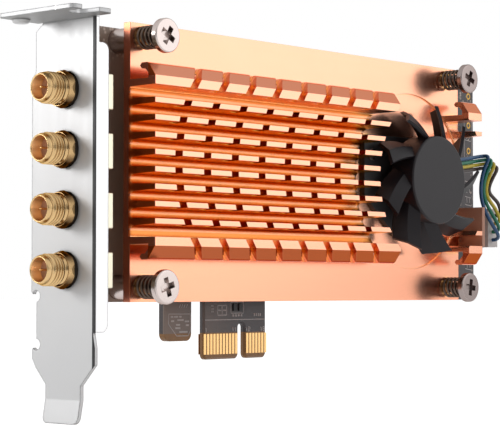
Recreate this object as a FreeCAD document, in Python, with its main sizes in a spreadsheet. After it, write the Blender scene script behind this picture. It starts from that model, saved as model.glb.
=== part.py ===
"""Low-profile wireless network card for a computer's expansion slot.

Frame: X = 0 is the outer face of the mounting bracket and +X runs along the card.
Y = 0 is the component face of the circuit board and -Y points away from it.
Z = 0 is the tip of the edge contacts and +Z points up. Everything is in millimetres.
"""
import FreeCAD, Part
import math
import os
import Sketcher
from FreeCAD import Placement, Rotation, Vector

doc = FreeCAD.newDocument("network_card")
sheet = doc.addObject("Spreadsheet::Sheet", "dims")

# Driving dimensions
SIZES = {
    # circuit board
    "board_thickness": 1.57, "board_left": 1.9, "board_right": 146.9, "board_top": 68.6,
    "board_bottom": 12.5, "key_centre": 58.63, "key_width": 1.9, "key_depth": 7.65,
    "fingers_left": 12.15, "fingers_right": 8.15, "tip_bevel": 0.4, "finger_round": 1.1,
    "tab_gap": 3.9, "tab_width": 8.2, "tab_tip": 4.15, "tab_round": 1.6,
    # edge contacts
    "contact_pitch": 1.0, "contact_width": 0.7, "contact_low": 1.1, "contact_high": 5.5,
    "contact_thickness": 0.04, "contacts_left": 11, "contacts_right": 7, "contact_margin": 0.6,
    # bracket
    "bracket_sheet": 0.86, "bracket_front": 15.16, "bracket_back": 3.0, "bracket_rise": 68.35,
    "upper_face_back": 1.95, "upper_face_foot": 58.0, "lower_face_back": 1.52,
    "notch_radius": 1.1, "upper_notch": 13.8, "lower_notch": 4.3, "notch_centre": 1.6,
    "shoulder_back": 2.75, "shoulder_front": 14.95, "shoulder_high": 3.3, "shoulder_low": 0.6,
    "tongue_back": 1.15, "tongue_front": 11.1, "tongue_root": -3.4, "tongue_bend": -6.2,
    "tongue_tip": -10.85, "tongue_lean": 0.9, "tongue_round": 1.3,
    "side_depth": 3.4, "side_low": 6.8, "side_high": 62.6, "side_round": 1.6,
    "flange_depth": 11.43, "flange_front": 19.9, "flange_back": 1.3, "flange_round": 1.2,
    "flange_bend": 0.1,
    "screw_slot_out": 5.9, "screw_slot_radius": 2.25, "screw_slot_centre": 17.1,
    "dimple_out": 6.3, "dimple_front": 0.7, "dimple_radius": 1.8, "dimple_depth": 0.8,
    # antenna jacks
    "jack_count": 4, "jack_first": 18.84, "jack_pitch": 11.69, "jack_out": 6.8,
    "jack_thread": 3.175, "jack_reach": 7.0, "jack_collar": 2.75, "jack_collar_length": 1.7,
    "jack_mouth": 2.3, "jack_mouth_depth": 6.2, "jack_block": 7.0, "jack_block_length": 8.6,
    "jack_leg": 0.5, "jack_leg_inset": 1.0, "jack_leg_past": 1.0, "jack_hole_play": 0.15,
    "insulator_depth": 3.6, "insulator_bore": 0.65, "pin_seat": 0.6, "pin_radius": 0.42,
    "pin_length": 5.9, "nut_across": 7.1, "nut_thickness": 1.3, "nut_round": 3.75, "nut_bevel": 0.4,
    "washer_radius": 3.6, "washer_thickness": 0.9, "thread_play": 0.03,
    # heat sink
    "sink_left": 16.86, "sink_right": 129.94, "sink_middle": 40.72, "sink_height": 56.4,
    "sink_face": 7.36, "sink_plate": 1.81, "fin_height": 7.11, "fin_pitch": 3.45, "fin_count": 8,
    "fin_root_depth": 0.2, "fin_root": 1.55, "fin_tip": 1.05, "fin_foot": 0.5,
    "lip_inner": 15.1, "lip_tip_out": 17.0,
    "lip_shoulder": 19.4, "lip_hook": 19.7, "lip_throat": 18.5, "lip_wall": 16.6,
    "groove_first": 22.6, "groove_pitch": 8.42, "groove_width": 2.15, "groove_depth": 3.0,
    "groove_radius": 28.5, "groove_count": 8, "groove_reach": 21.0,
    "pocket_radius": 20.85, "pocket_sink": 0.4, "outlet_height": 22.6, "outlet_from": 118.0,
    "lip_gap_left": 13.2, "lip_gap_right": 13.9,
    # spring screws
    "screw_left": 20.34, "screw_right": 124.73, "screw_rise": 25.16, "screw_play": 0.2,
    "screw_shank": 1.25, "screw_head": 3.5, "screw_head_height": 1.3, "screw_head_out": 7.3,
    "screw_neck": 1.55, "screw_neck_length": 1.2, "head_round": 0.35, "cross_width": 1.25,
    "cross_span": 3.9, "cross_depth": 1.0, "spring_wire": 0.3, "spring_radius": 2.15, "spring_turns": 5.0,
    "standoff_radius": 2.5, "stem_radius": 1.8, "standoff_past": 0.9, "standoff_wall": 0.06,
    # fan
    "fan_axis": 110.5, "hub_radius": 10.36, "hub_front": 15.9, "hub_back": 9.5, "hub_wall": 0.9,
    "blade_count": 9, "blade_reach": 17.2, "blade_back": 9.9, "blade_front": 15.0,
    "blade_half": 0.3, "blade_bow": 0.6, "blade_foot": 8.3, "foot_lead": -2.27,
    "foot_trail": -5.6, "tip_lead": 3.04, "tip_trail": -2.13, "blade_sweep": 0.6,
    "magnet_wall": 1.3, "magnet_length": 4.2, "shaft_radius": 0.75,
    "shaft_play": 0.03, "tube_radius": 2.6, "bearing_radius": 2.0, "base_thickness": 1.0,
    "stator_radius": 7.4, "stator_height": 3.0, "stator_lift": 1.0, "stator_ring": 5.8,
    "stator_poles": 4, "pole_width": 1.8, "shoe_angle": 50, "shoe_thickness": 0.9,
    "base_screw_radius": 0.8, "rotor_gap": 0.45,
    # end plate and lead
    "guard_thickness": 1.1, "guard_low": 25.5, "guard_high": 35.0, "guard_hole": 0.8,
    "guard_hole_out": 8.4, "guard_hole_high": 27.3, "guard_hole_depth": 0.8,
    "wire_radius": 0.46, "wire_pitch": 0.98, "plug_pitch": 2.0, "plug_left": 142.2,
    "plug_width": 4.4, "plug_low": 25.5, "plug_margin": 1.95, "plug_height": 4.4,
    "header_height": 3.2, "pin_radius": 0.22, "pin_play": 0.05,
    # electronics
    "module_left": 24.0, "module_width": 30.0, "module_height": 34.0, "module_gap": 5.0,
    "shield_height": 2.0, "can_round": 0.6, "pad_inset": 4.0, "pad_height": 24.0,
    "bridge_gap": 2.13, "bridge_side": 12.0, "bridge_height": 1.2, "bridge_pad_inset": 1.0,
    "crystal_width": 3.2, "crystal_height": 2.5, "crystal_rise": 15.3, "crystal_past": 2.87,
    "crystal_out": 1.0,
    "capacitor_long": 1.8, "capacitor_short": 1.0, "capacitor_out": 0.9, "coil_side": 4.0,
    "coil_out": 2.6,
}
for row, (alias, size) in enumerate(SIZES.items(), start=1):
    sheet.set("A%d" % row, alias)
    sheet.set("B%d" % row, str(size))
    sheet.setAlias("B%d" % row, alias)
doc.recompute()

parts = []


def value(expression):
    """The number that an expression of the sheet's names gives now."""
    result = sheet.evalExpression(named(expression))
    return float(getattr(result, "Value", result))


def named(expression):
    """Puts the sheet's name before each of its aliases."""
    words = []
    word = ""
    for letter in str(expression) + " ":
        if letter.isalpha() or letter == "_" or (word and letter.isdigit()):
            word += letter
            continue
        words.append("dims." + word if word in SIZES else word)
        words.append(letter)
        word = ""
    return "".join(words).strip()


def bind(item, **expressions):
    """Ties properties of an object to the sheet."""
    for name, expression in expressions.items():
        item.setExpression(name, named(expression))
    return item


def keep(item, label):
    """Marks an object as one finished piece of the card."""
    item.Label = label
    parts.append(item)
    return item


def set_in_code(label, shape):
    """A piece whose shape no sketch or primitive gives."""
    piece = doc.addObject("Part::Feature", label)
    piece.Shape = shape
    return keep(piece, label)


def new_body(label, x="0", y="0", z="0", rotation=None):
    body = doc.addObject("PartDesign::Body", label)
    body.Placement = Placement(Vector(0, 0, 0), rotation or Rotation())
    bind(body, **{".Placement.Base.x": x, ".Placement.Base.y": y, ".Placement.Base.z": z})
    return keep(body, label)


def origin_part(body, role):
    return next(part for part in body.Origin.OriginFeatures if part.Role == role)


def new_sketch(body, name, plane, offset="0"):
    sketch = body.newObject("Sketcher::SketchObject", name)
    sketch.AttachmentSupport = [(origin_part(body, plane), "")]
    sketch.MapMode = "FlatFace"
    return bind(sketch, **{".AttachmentOffset.Base.z": offset})


def fix(sketch, kind, *where, size):
    """A dimension from the sketch's origin or of one edge, tied to the sheet."""
    number = sketch.addConstraint(Sketcher.Constraint(kind, *where, value(size)))
    sketch.setExpression("Constraints[%d]" % number, named(size))


def outline(sketch, points):
    """A closed outline through points whose coordinates are expressions."""
    places = [Vector(value(a), value(b), 0) for a, b in points]
    first = sketch.GeometryCount
    for start, end in zip(places, places[1:] + places[:1]):
        sketch.addGeometry(Part.LineSegment(start, end), False)
    for index, (a, b) in enumerate(points):
        edge = first + index
        following = first + (index + 1) % len(points)
        sketch.addConstraint(Sketcher.Constraint("Coincident", edge, 2, following, 1))
        fix(sketch, "DistanceX", -1, 1, edge, 1, size=a)
        fix(sketch, "DistanceY", -1, 1, edge, 1, size=b)


def circle(sketch, x, y, radius):
    centre = Vector(value(x), value(y), 0)
    edge = sketch.addGeometry(Part.Circle(centre, Vector(0, 0, 1), value(radius)), False)
    fix(sketch, "DistanceX", -1, 1, edge, 3, size=x)
    fix(sketch, "DistanceY", -1, 1, edge, 3, size=y)
    fix(sketch, "Radius", edge, size=radius)


def box_points(left, low, right, high):
    return [(left, low), (right, low), (right, high), (left, high)]


def pad(body, sketch, name, length, reverse=False):
    feature = body.newObject("PartDesign::Pad", name)
    feature.Profile = sketch
    feature.Reversed = reverse
    bind(feature, Length=length)
    doc.recompute()
    return feature


def pocket(body, sketch, name, length, reverse=False):
    before = body.Shape.Volume
    feature = body.newObject("PartDesign::Pocket", name)
    feature.Profile = sketch
    feature.Reversed = reverse
    bind(feature, Length=length)
    doc.recompute()
    if body.Shape.Volume >= before - 1e-6:
        raise RuntimeError("%s cuts nothing" % name)
    return feature


def pattern(body, feature, name, axis, length, count):
    row_of = body.newObject("PartDesign::LinearPattern", name)
    row_of.Originals = [feature]
    row_of.Direction = (origin_part(body, axis), [""])
    bind(row_of, Length=length, Occurrences=count)
    body.Tip = row_of
    doc.recompute()
    return row_of


def round_edges(body, name, radius, wanted):
    """Rounds the edges whose middle point passes the test."""
    chosen = []
    for number, edge in enumerate(body.Shape.Edges, start=1):
        middle = edge.valueAt((edge.FirstParameter + edge.LastParameter) / 2)
        if edge.Length > 1e-3 and wanted(edge, middle):
            chosen.append("Edge%d" % number)
    base = body.Tip
    feature = body.newObject("PartDesign::Fillet", name)
    feature.Base = (base, chosen)
    bind(feature, Radius=radius)
    body.Tip = feature
    doc.recompute()
    return feature


def runs_along(edge, axis):
    direction = edge.tangentAt(edge.FirstParameter)
    return isinstance(edge.Curve, Part.Line) and abs(abs(direction.dot(axis)) - 1) < 1e-6


def near(number, target, reach=0.02):
    return abs(number - target) < reach


def cylinder_along(axis, start, radius, length):
    """A cylinder as a bare shape, its start point and length in millimetres."""
    return Part.makeCylinder(radius, length, start, axis)


EAST = Vector(1, 0, 0)
SOUTH = Vector(0, -1, 0)
NORTH = Vector(0, 1, 0)
UP = Vector(0, 0, 1)
LIE_BACK = Rotation(EAST, 90)


def screw_places():
    """Centres of the four heat sink screws, as (x, z)."""
    middle = value("sink_middle")
    rise = value("screw_rise")
    return [(value(x), middle + side * rise) for x in ("screw_left", "screw_right") for side in (-1, 1)]


def jack_heights():
    return ["(jack_first + %d * jack_pitch)" % number for number in range(int(value("jack_count")))]


def jack_leg_places():
    """Expressions for the four legs of each jack, as (x, z)."""
    places = []
    for height in jack_heights():
        for x in ("bracket_sheet + 2 * jack_leg_inset + 0.5",
                  "bracket_sheet + jack_block_length - jack_leg_inset"):
            for side in ("-", "+"):
                places.append((x, "%s %s (jack_block / 2 - jack_leg_inset)" % (height, side)))
    return places


def pin_places():
    """The four header pins, as (x, z) expressions."""
    return [("plug_left + plug_width / 2", "plug_low + plug_margin + %d * plug_pitch" % number)
            for number in range(4)]


def make_board():
    body = new_body("main_pcb")
    sketch = new_sketch(body, "board_outline", "XZ_Plane", "-board_thickness")
    tab_right = "(key_centre - fingers_left - tab_gap)"
    outline(sketch, [
        ("board_left", "board_bottom"),
        (tab_right + " - tab_width", "board_bottom"), (tab_right + " - tab_width", "tab_tip"),
        (tab_right, "tab_tip"), (tab_right, "board_bottom"),
        ("key_centre - fingers_left", "board_bottom"), ("key_centre - fingers_left", "0"),
        ("key_centre - key_width / 2", "0"), ("key_centre - key_width / 2", "key_depth - key_width / 2"),
        ("key_centre + key_width / 2", "key_depth - key_width / 2"), ("key_centre + key_width / 2", "0"),
        ("key_centre + fingers_right", "0"), ("key_centre + fingers_right", "board_bottom"),
        ("board_right", "board_bottom"), ("board_right", "board_top"), ("board_left", "board_top"),
    ])
    pad(body, sketch, "board_sheet", "board_thickness")
    holes = new_sketch(body, "board_holes", "XZ_Plane")
    circle(holes, "key_centre", "key_depth - key_width / 2", "key_width / 2")
    for x in ("screw_left", "screw_right"):
        for side in ("-", "+"):
            circle(holes, x, "sink_middle %s screw_rise" % side, "stem_radius + screw_play")
    for x, z in jack_leg_places():
        circle(holes, x, z, "jack_leg + jack_hole_play")
    for x, z in pin_places():
        circle(holes, x, z, "pin_radius + pin_play")
    pocket(body, holes, "board_drilling", "board_thickness")
    tip = value("tab_tip")
    round_edges(body, "tab_rounding", "tab_round",
                lambda edge, middle: runs_along(edge, NORTH) and near(middle.z, tip))
    round_edges(body, "finger_rounding", "finger_round",
                lambda edge, middle: runs_along(edge, NORTH) and near(middle.z, 0))
    base = body.Tip
    bevel = body.newObject("PartDesign::Chamfer", "tip_bevels")
    chosen = []
    for number, edge in enumerate(body.Shape.Edges, start=1):
        if runs_along(edge, EAST) and near(edge.CenterOfMass.z, 0):
            chosen.append("Edge%d" % number)
    bevel.Base = (base, chosen)
    bind(bevel, Size="tip_bevel")
    body.Tip = bevel
    doc.recompute()


def make_contacts():
    """Plated contact strips on both faces of the tab, as separate thin solids."""
    strips = []
    width = value("contact_width")
    pitch = value("contact_pitch")
    thick = value("contact_thickness")
    high = value("contact_high - contact_low")
    first = value("key_width / 2 + contact_margin") + width / 2 - 0.1
    places = [-first - pitch * number for number in range(int(value("contacts_left")))]
    places += [first + pitch * number for number in range(int(value("contacts_right")))]
    for place in places:
        for face in (-thick, value("board_thickness")):
            corner = Vector(value("key_centre") + place - width / 2, face, value("contact_low"))
            strips.append(Part.makeBox(width, thick, high, corner))
    set_in_code("edge_contacts", Part.makeCompound(strips))


def make_bracket():
    body = new_body("bracket")
    face = new_sketch(body, "bracket_face_outline", "YZ_Plane")
    top = "bracket_rise - bracket_sheet"
    outline(face, [
        ("-bracket_front", "side_low"), ("-bracket_front", top), ("-flange_bend", top),
        ("upper_face_back", top + " - 1.6"), ("upper_face_back", "upper_face_foot"),
        ("bracket_back", "upper_face_foot - 1.1"), ("bracket_back", "upper_notch + 0.8"),
        ("lower_face_back", "upper_notch - 0.9"), ("lower_face_back", "lower_notch + 0.6"),
        ("shoulder_back", "shoulder_high"), ("shoulder_back", "shoulder_low + 0.9"),
        ("shoulder_back - 1.0", "shoulder_low - 0.8"),
        ("-tongue_back", "tongue_root"), ("-tongue_back", "tongue_bend"),
        ("-tongue_front", "tongue_bend"), ("-tongue_front", "tongue_root"),
        ("-shoulder_front", "shoulder_low"), ("-shoulder_front", "shoulder_high + 0.6"),
        ("-shoulder_front + 0.6", "side_low"),
    ])
    pad(body, face, "bracket_face", "bracket_sheet")
    lean = new_sketch(body, "tongue_end_outline", "XZ_Plane", "tongue_back")
    outline(lean, [("0", "tongue_bend"), ("bracket_sheet", "tongue_bend"),
                   ("bracket_sheet - tongue_lean", "tongue_tip"), ("-tongue_lean", "tongue_tip")])
    pad(body, lean, "tongue_end", "tongue_front - tongue_back")
    side = new_sketch(body, "side_flange_outline", "XZ_Plane", "bracket_front - bracket_sheet")
    outline(side, box_points("0", "side_low", "side_depth", "side_high"))
    pad(body, side, "side_flange", "bracket_sheet")
    roof = new_sketch(body, "top_flange_outline", "XY_Plane", top)
    outline(roof, [
        ("bracket_sheet - flange_depth", "-flange_front"), ("0", "-flange_front"),
        ("0", "-bracket_front"), ("bracket_sheet", "-bracket_front"),
        ("bracket_sheet", "-flange_bend"), ("0", "-flange_bend"), ("0", "flange_back"),
        ("bracket_sheet - flange_depth", "flange_back"),
    ])
    pad(body, roof, "top_flange", "bracket_sheet")
    slot = new_sketch(body, "screw_slot_outline", "XY_Plane", "bracket_rise")
    circle(slot, "-screw_slot_out", "-screw_slot_centre", "screw_slot_radius")
    pocket(body, slot, "screw_slot_end", "bracket_sheet")
    mouth = new_sketch(body, "screw_slot_mouth", "XY_Plane", "bracket_rise")
    outline(mouth, box_points("-screw_slot_out - screw_slot_radius", "-flange_front - 0.1",
                              "-screw_slot_out + screw_slot_radius", "-screw_slot_centre"))
    pocket(body, mouth, "screw_slot_cut", "bracket_sheet")
    holes = new_sketch(body, "bracket_holes", "YZ_Plane", "bracket_sheet")
    for height in jack_heights():
        circle(holes, "-jack_out", height, "jack_thread + thread_play")
    circle(holes, "notch_centre", "upper_notch", "notch_radius")
    circle(holes, "notch_centre", "lower_notch", "notch_radius")
    pocket(body, holes, "bracket_drilling", "bracket_sheet")
    tip = value("tongue_tip")
    round_edges(body, "tongue_rounding", "tongue_round", lambda edge, middle:
                abs(middle.z - tip) < 0.05 and abs(edge.Length - value("bracket_sheet")) < 0.1)
    deep = value("side_depth")
    round_edges(body, "side_rounding", "side_round", lambda edge, middle:
                runs_along(edge, NORTH) and near(middle.x, deep))
    out = value("bracket_sheet - flange_depth")
    front = -value("flange_front")
    round_edges(body, "flange_rounding", "flange_round", lambda edge, middle: runs_along(edge, UP)
                and (near(middle.x, out) or (near(middle.y, front) and near(middle.x, 0))))
    dimple = new_sketch(body, "dimple_outline", "XY_Plane", top)
    circle(dimple, "-dimple_out", "-dimple_front", "dimple_radius")
    pad(body, dimple, "dimple", "dimple_depth", reverse=True)
    low = value("bracket_rise - bracket_sheet - dimple_depth")
    round_edges(body, "dimple_rounding", "dimple_depth - 0.1", lambda edge, middle:
                near(edge.CenterOfMass.z, low) and near(edge.CenterOfMass.x, -value("dimple_out")))


def lip_points():
    """Profile of the hooked upper lip, as (Y, Z) from the middle line of the heat sink."""
    face = "-sink_face"
    inside = face + " + fin_root_depth"
    return [
        (inside, "lip_inner"), (face + " - fin_height", "lip_inner + 0.1"),
        (face + " - fin_height", "lip_tip_out"), (face + " - 5.4", "lip_shoulder"),
        (face + " - 4.8", "lip_hook"), (face + " - 3.3", "lip_hook"), (face + " - 2.8", "lip_hook - 0.6"),
        (face + " - 3.3", "lip_throat"), (face + " - 4.3", "lip_throat"),
        (face + " - 5.2", "lip_throat - 1.0"), (face + " - 5.2", "lip_wall - 0.1"),
        (inside, "lip_wall"),
    ]


def make_heat_sink():
    body = new_body("heat_sink", z="sink_middle")
    plate = new_sketch(body, "plate_outline", "XZ_Plane", "sink_face - sink_plate")
    outline(plate, box_points("sink_left", "-sink_height / 2", "sink_right", "sink_height / 2"))
    pad(body, plate, "plate", "sink_plate")
    fin = new_sketch(body, "fin_profile", "YZ_Plane", "sink_left")
    low = "-(fin_count - 1) / 2 * fin_pitch"
    root = "-sink_face + fin_root_depth"
    tip = "-sink_face - fin_height"
    foot = "-sink_face - fin_foot"
    under = low + " - fin_root / 2"
    over = low + " + fin_root / 2"
    outline(fin, [(root, under + " - fin_foot"), ("-sink_face", under + " - fin_foot"),
                  (foot, under), (tip, low + " - fin_tip / 2"), (tip, low + " + fin_tip / 2"),
                  (foot, over), ("-sink_face", over + " + fin_foot"), (root, over + " + fin_foot")])
    first = pad(body, fin, "fin", "sink_right - sink_left")
    pattern(body, first, "fins", "Z_Axis", "(fin_count - 1) * fin_pitch", "fin_count")
    lip = new_sketch(body, "lip_profile", "YZ_Plane", "sink_left")
    outline(lip, lip_points())
    upper = pad(body, lip, "upper_lip", "sink_right - sink_left")
    lower = body.newObject("PartDesign::Mirrored", "lower_lip")
    lower.Originals = [upper]
    lower.MirrorPlane = (origin_part(body, "XY_Plane"), [""])
    body.Tip = lower
    doc.recompute()
    groove = new_sketch(body, "groove_outline", "XZ_Plane", "sink_face + fin_height")
    radius = value("groove_radius")
    reach = value("groove_reach")
    bend = math.asin(reach / radius)
    sides = []
    for left in ("groove_first", "groove_first + groove_width"):
        centre = Vector(value(left) + radius, 0, 0)
        whole = Part.Circle(centre, UP, radius)
        side = groove.addGeometry(Part.ArcOfCircle(whole, math.pi - bend, math.pi + bend), False)
        groove.addConstraint(Sketcher.Constraint("PointOnObject", side, 3, -1))
        fix(groove, "Radius", side, size="groove_radius")
        fix(groove, "DistanceX", -1, 1, side, 3, size=left + " + groove_radius")
        fix(groove, "DistanceY", -1, 1, side, 1, size="groove_reach")
        fix(groove, "DistanceY", -1, 1, side, 2, size="-groove_reach")
        sides.append(side)
    for end in (1, 2):
        start = groove.getPoint(sides[0], end)
        finish = groove.getPoint(sides[1], end)
        cap = groove.addGeometry(Part.LineSegment(start, finish), False)
        groove.addConstraint(Sketcher.Constraint("Coincident", cap, 1, sides[0], end))
        groove.addConstraint(Sketcher.Constraint("Coincident", cap, 2, sides[1], end))
    cut = pocket(body, groove, "groove", "groove_depth")
    pattern(body, cut, "grooves", "X_Axis", "(groove_count - 1) * groove_pitch", "groove_count")
    round_room = new_sketch(body, "fan_pocket_outline", "XZ_Plane", "sink_face + fin_height + 1")
    circle(round_room, "fan_axis", "0", "pocket_radius")
    pocket(body, round_room, "fan_pocket", "fin_height + 1 + pocket_sink")
    outlet = new_sketch(body, "outlet_outline", "XZ_Plane", "sink_face + fin_height + 1")
    outline(outlet, box_points("outlet_from", "-outlet_height / 2", "sink_right + 1", "outlet_height / 2"))
    pocket(body, outlet, "outlet", "fin_height + 1")
    gap = new_sketch(body, "lip_gap_outline", "XZ_Plane", "sink_face + fin_height + 1")
    for low, high in (("lip_inner - 0.2", "lip_hook + 1"), ("-lip_hook - 1", "-lip_inner + 0.2")):
        outline(gap, box_points("fan_axis - lip_gap_left", low, "fan_axis + lip_gap_right", high))
    pocket(body, gap, "lip_gaps", "fin_height + 1")
    holes = new_sketch(body, "screw_holes", "XZ_Plane", "sink_face")
    for x in ("screw_left", "screw_right"):
        for side in ("-screw_rise", "screw_rise"):
            circle(holes, x, side, "screw_shank + screw_play")
    for x, z in base_screw_places():
        circle(holes, x, z + " - sink_middle", "base_screw_radius")
    pocket(body, holes, "sink_drilling", "sink_plate")


def base_screw_places():
    """The three screws that hold the fan's base, as (x, z) expressions."""
    return [("fan_axis - 16", "sink_middle + 5.5"), ("fan_axis - 4", "sink_middle - 11.3"),
            ("fan_axis + 15.5", "sink_middle")]


# How far each screw's cross recess was left turned, in degrees, in the order of screw_places
CROSS_TURNS = [17, -30, -8, -22]


def make_screws():
    """Four shouldered screws, each with a flat round head and a cross recess."""
    back = value("standoff_past + board_thickness") - 0.6
    head_back = value("sink_face + screw_head_out - screw_head_height")
    screws = []
    for (x, z), turn in zip(screw_places(), CROSS_TURNS):
        shank = cylinder_along(SOUTH, Vector(x, back, z), value("screw_shank"), head_back + back)
        neck_start = head_back - value("screw_neck_length")
        neck = cylinder_along(SOUTH, Vector(x, -neck_start, z), value("screw_neck"),
                              value("screw_neck_length"))
        height = value("screw_head_height")
        head = cylinder_along(SOUTH, Vector(x, -head_back, z), value("screw_head"), height)
        rim = [edge for edge in head.Edges if near(edge.CenterOfMass.y, -head_back - height)]
        head = head.makeFillet(value("head_round"), rim[:1])
        screw = shank.fuse([neck, head])
        wide = value("cross_width")
        span = value("cross_span")
        floor = -head_back - value("screw_head_height")
        for size_x, size_z in ((span, wide), (wide, span)):
            corner = Vector(x - size_x / 2, floor, z - size_z / 2)
            slot = Part.makeBox(size_x, value("cross_depth"), size_z, corner)
            slot.rotate(Vector(x, floor, z), SOUTH, turn)
            screw = screw.cut(slot)
        screws.append(screw.removeSplitter())
    set_in_code("spring_screws", Part.makeCompound(screws))


def make_springs():
    """Coil springs between the heat sink plate and the screw heads."""
    wire = value("spring_wire")
    low = value("sink_face") + wire + 0.02
    high = value("sink_face + screw_head_out - screw_head_height") - wire - 0.02
    pitch = (high - low) / value("spring_turns")
    springs = []
    for x, z in screw_places():
        helix = Part.makeHelix(pitch, high - low, value("spring_radius"))
        profile = Part.Wire(Part.makeCircle(wire, Vector(value("spring_radius"), 0, 0), Vector(0, 1, 0)))
        coil = Part.Wire(helix).makePipeShell([profile], True, True)
        coil.Placement = Placement(Vector(x, -low, z), LIE_BACK)
        springs.append(coil)
    set_in_code("springs", Part.makeCompound(springs))


def make_standoffs():
    """Threaded spacers pressed into the board, which the screws run into."""
    spacers = []
    face = value("sink_face - sink_plate")
    back = value("board_thickness + standoff_past")
    collar = value("standoff_radius")
    for x, z in screw_places():
        spacer = cylinder_along(SOUTH, Vector(x, 0, z), collar, face)
        stem = cylinder_along(NORTH, Vector(x, 0, z), value("stem_radius"), back)
        bore = cylinder_along(SOUTH, Vector(x, back, z), value("screw_shank + standoff_wall"), 20)
        spacers.append(spacer.fuse(stem).cut(bore).removeSplitter())
    set_in_code("standoffs", Part.makeCompound(spacers))


def make_jacks():
    for number, height in enumerate(jack_heights(), start=1):
        body = new_body("jack_body_%d" % number, x="bracket_sheet", y="-jack_out", z=height)
        block = new_sketch(body, "block_outline", "YZ_Plane")
        half = "jack_block / 2"
        outline(block, box_points("-" + half, "-" + half, half, half))
        pad(body, block, "block", "jack_block_length")
        barrel = new_sketch(body, "barrel_outline", "YZ_Plane")
        circle(barrel, "0", "0", "jack_thread")
        pad(body, barrel, "barrel", "jack_reach + bracket_sheet - jack_collar_length", reverse=True)
        collar = new_sketch(body, "collar_outline", "YZ_Plane")
        circle(collar, "0", "0", "jack_collar")
        pad(body, collar, "collar", "jack_reach + bracket_sheet", reverse=True)
        mouth = new_sketch(body, "mouth_outline", "YZ_Plane", "-(jack_reach + bracket_sheet)")
        circle(mouth, "0", "0", "jack_mouth")
        pocket(body, mouth, "mouth", "jack_mouth_depth", reverse=True)
        legs = new_sketch(body, "leg_outlines", "XZ_Plane", "-" + half)
        for x in ("2 * jack_leg_inset + 0.5", "jack_block_length - jack_leg_inset"):
            for side in ("-", ""):
                circle(legs, x, side + "(jack_block / 2 - jack_leg_inset)", "jack_leg")
        pad(body, legs, "legs", "jack_out - jack_block / 2 + board_thickness + jack_leg_past", reverse=True)

        middle = Vector(0, -value("jack_out"), value(height))
        floor = -value("jack_reach") + value("jack_mouth_depth")
        ring = cylinder_along(EAST, middle + Vector(floor - value("insulator_depth"), 0, 0),
                              value("jack_mouth") - 0.02, value("insulator_depth"))
        ring = ring.cut(cylinder_along(EAST, middle + Vector(floor - 4, 0, 0), value("insulator_bore"), 8))
        set_in_code("jack_insulator_%d" % number, ring)
        seat = cylinder_along(EAST, middle + Vector(floor - value("insulator_depth"), 0, 0),
                              value("pin_seat"), value("insulator_depth"))
        slim = value("pin_radius")
        tip = middle + Vector(floor - value("pin_length"), 0, 0)
        shaft = cylinder_along(EAST, tip + EAST * slim, slim, value("pin_length") - slim)
        point = Part.makeCone(slim / 2, slim, slim, tip, EAST)
        set_in_code("jack_contact_%d" % number, seat.fuse([shaft, point]).removeSplitter())


def make_jack_hardware():
    """Hexagon nuts and lock washers that clamp the jacks to the bracket."""
    nuts = []
    washers = []
    corner = value("nut_across") / 2 / math.cos(math.pi / 6)
    bore = value("jack_thread + thread_play")
    for height in jack_heights():
        middle = Vector(0, -value("jack_out"), value(height))
        ring = cylinder_along(-EAST, middle, value("washer_radius"), value("washer_thickness"))
        washers.append(ring.cut(cylinder_along(-EAST, middle, bore, 3)))
        seat = middle - EAST * value("washer_thickness")
        spots = [seat + Vector(0, corner * math.cos(turn), corner * math.sin(turn))
                 for turn in [math.radians(60 * step + 30) for step in range(7)]]
        hexagon = Part.Face(Part.makePolygon(spots)).extrude(-EAST * value("nut_thickness"))
        chamfer = Part.makeCone(value("nut_round"), value("nut_round - nut_bevel"),
                                value("nut_thickness"), seat, -EAST)
        hexagon = hexagon.common(chamfer)
        nuts.append(hexagon.cut(cylinder_along(-EAST, middle, bore, 4)))
    set_in_code("jack_nuts", Part.makeCompound(nuts))
    set_in_code("jack_washers", Part.makeCompound(washers))


def make_rotor():
    """Hub and blades as one moulding; local +Z is the shaft, pointing away from the board."""
    body = new_body("fan_rotor", x="fan_axis", z="sink_middle", rotation=LIE_BACK)
    hub = new_sketch(body, "hub_profile", "XY_Plane", "hub_back")
    circle(hub, "0", "0", "hub_radius")
    pad(body, hub, "hub", "hub_front - hub_back")
    sections = []
    for name, share, sweep in (("root", 0, ""), ("middle", 0.5, " - blade_sweep"), ("tip", 1, "")):
        place = "blade_foot + %s * (blade_reach - blade_foot)" % share
        sketch = new_sketch(body, "blade_" + name, "YZ_Plane", place)
        lead = "foot_lead + %s * (tip_lead - foot_lead)" % share + sweep
        trail = "foot_trail + %s * (tip_trail - foot_trail)" % share + sweep
        middle = "((%s) + (%s)) / 2 - blade_bow" % (lead, trail)
        line = [(lead, "blade_front"), (middle, "(blade_front + blade_back) / 2 + blade_bow"),
                (trail, "blade_back")]
        outline(sketch, [(y + " - blade_half", z + " + blade_half") for y, z in line]
                + [(y + " + blade_half", z + " - blade_half") for y, z in reversed(line)])
        sections.append(sketch)
    blade = body.newObject("PartDesign::AdditiveLoft", "blade")
    blade.Profile = sections[0]
    blade.Sections = sections[1:]
    doc.recompute()
    ring = body.newObject("PartDesign::PolarPattern", "blades")
    ring.Originals = [blade]
    ring.Axis = (origin_part(body, "Z_Axis"), [""])
    ring.Angle = 360
    bind(ring, Occurrences="blade_count")
    body.Tip = ring
    doc.recompute()
    hollow = new_sketch(body, "hub_hollow_outline", "XY_Plane", "hub_back")
    circle(hollow, "0", "0", "hub_radius - hub_wall")
    pocket(body, hollow, "hub_hollow", "hub_front - hub_back - hub_wall", reverse=True)
    centre = Vector(value("fan_axis"), -value("hub_front"), value("sink_middle"))
    rim = value("hub_radius")
    round_edges(body, "hub_rounding", "hub_wall / 2", lambda edge, middle:
                near(middle.y, centre.y) and near(middle.distanceToPoint(centre), rim))


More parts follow.
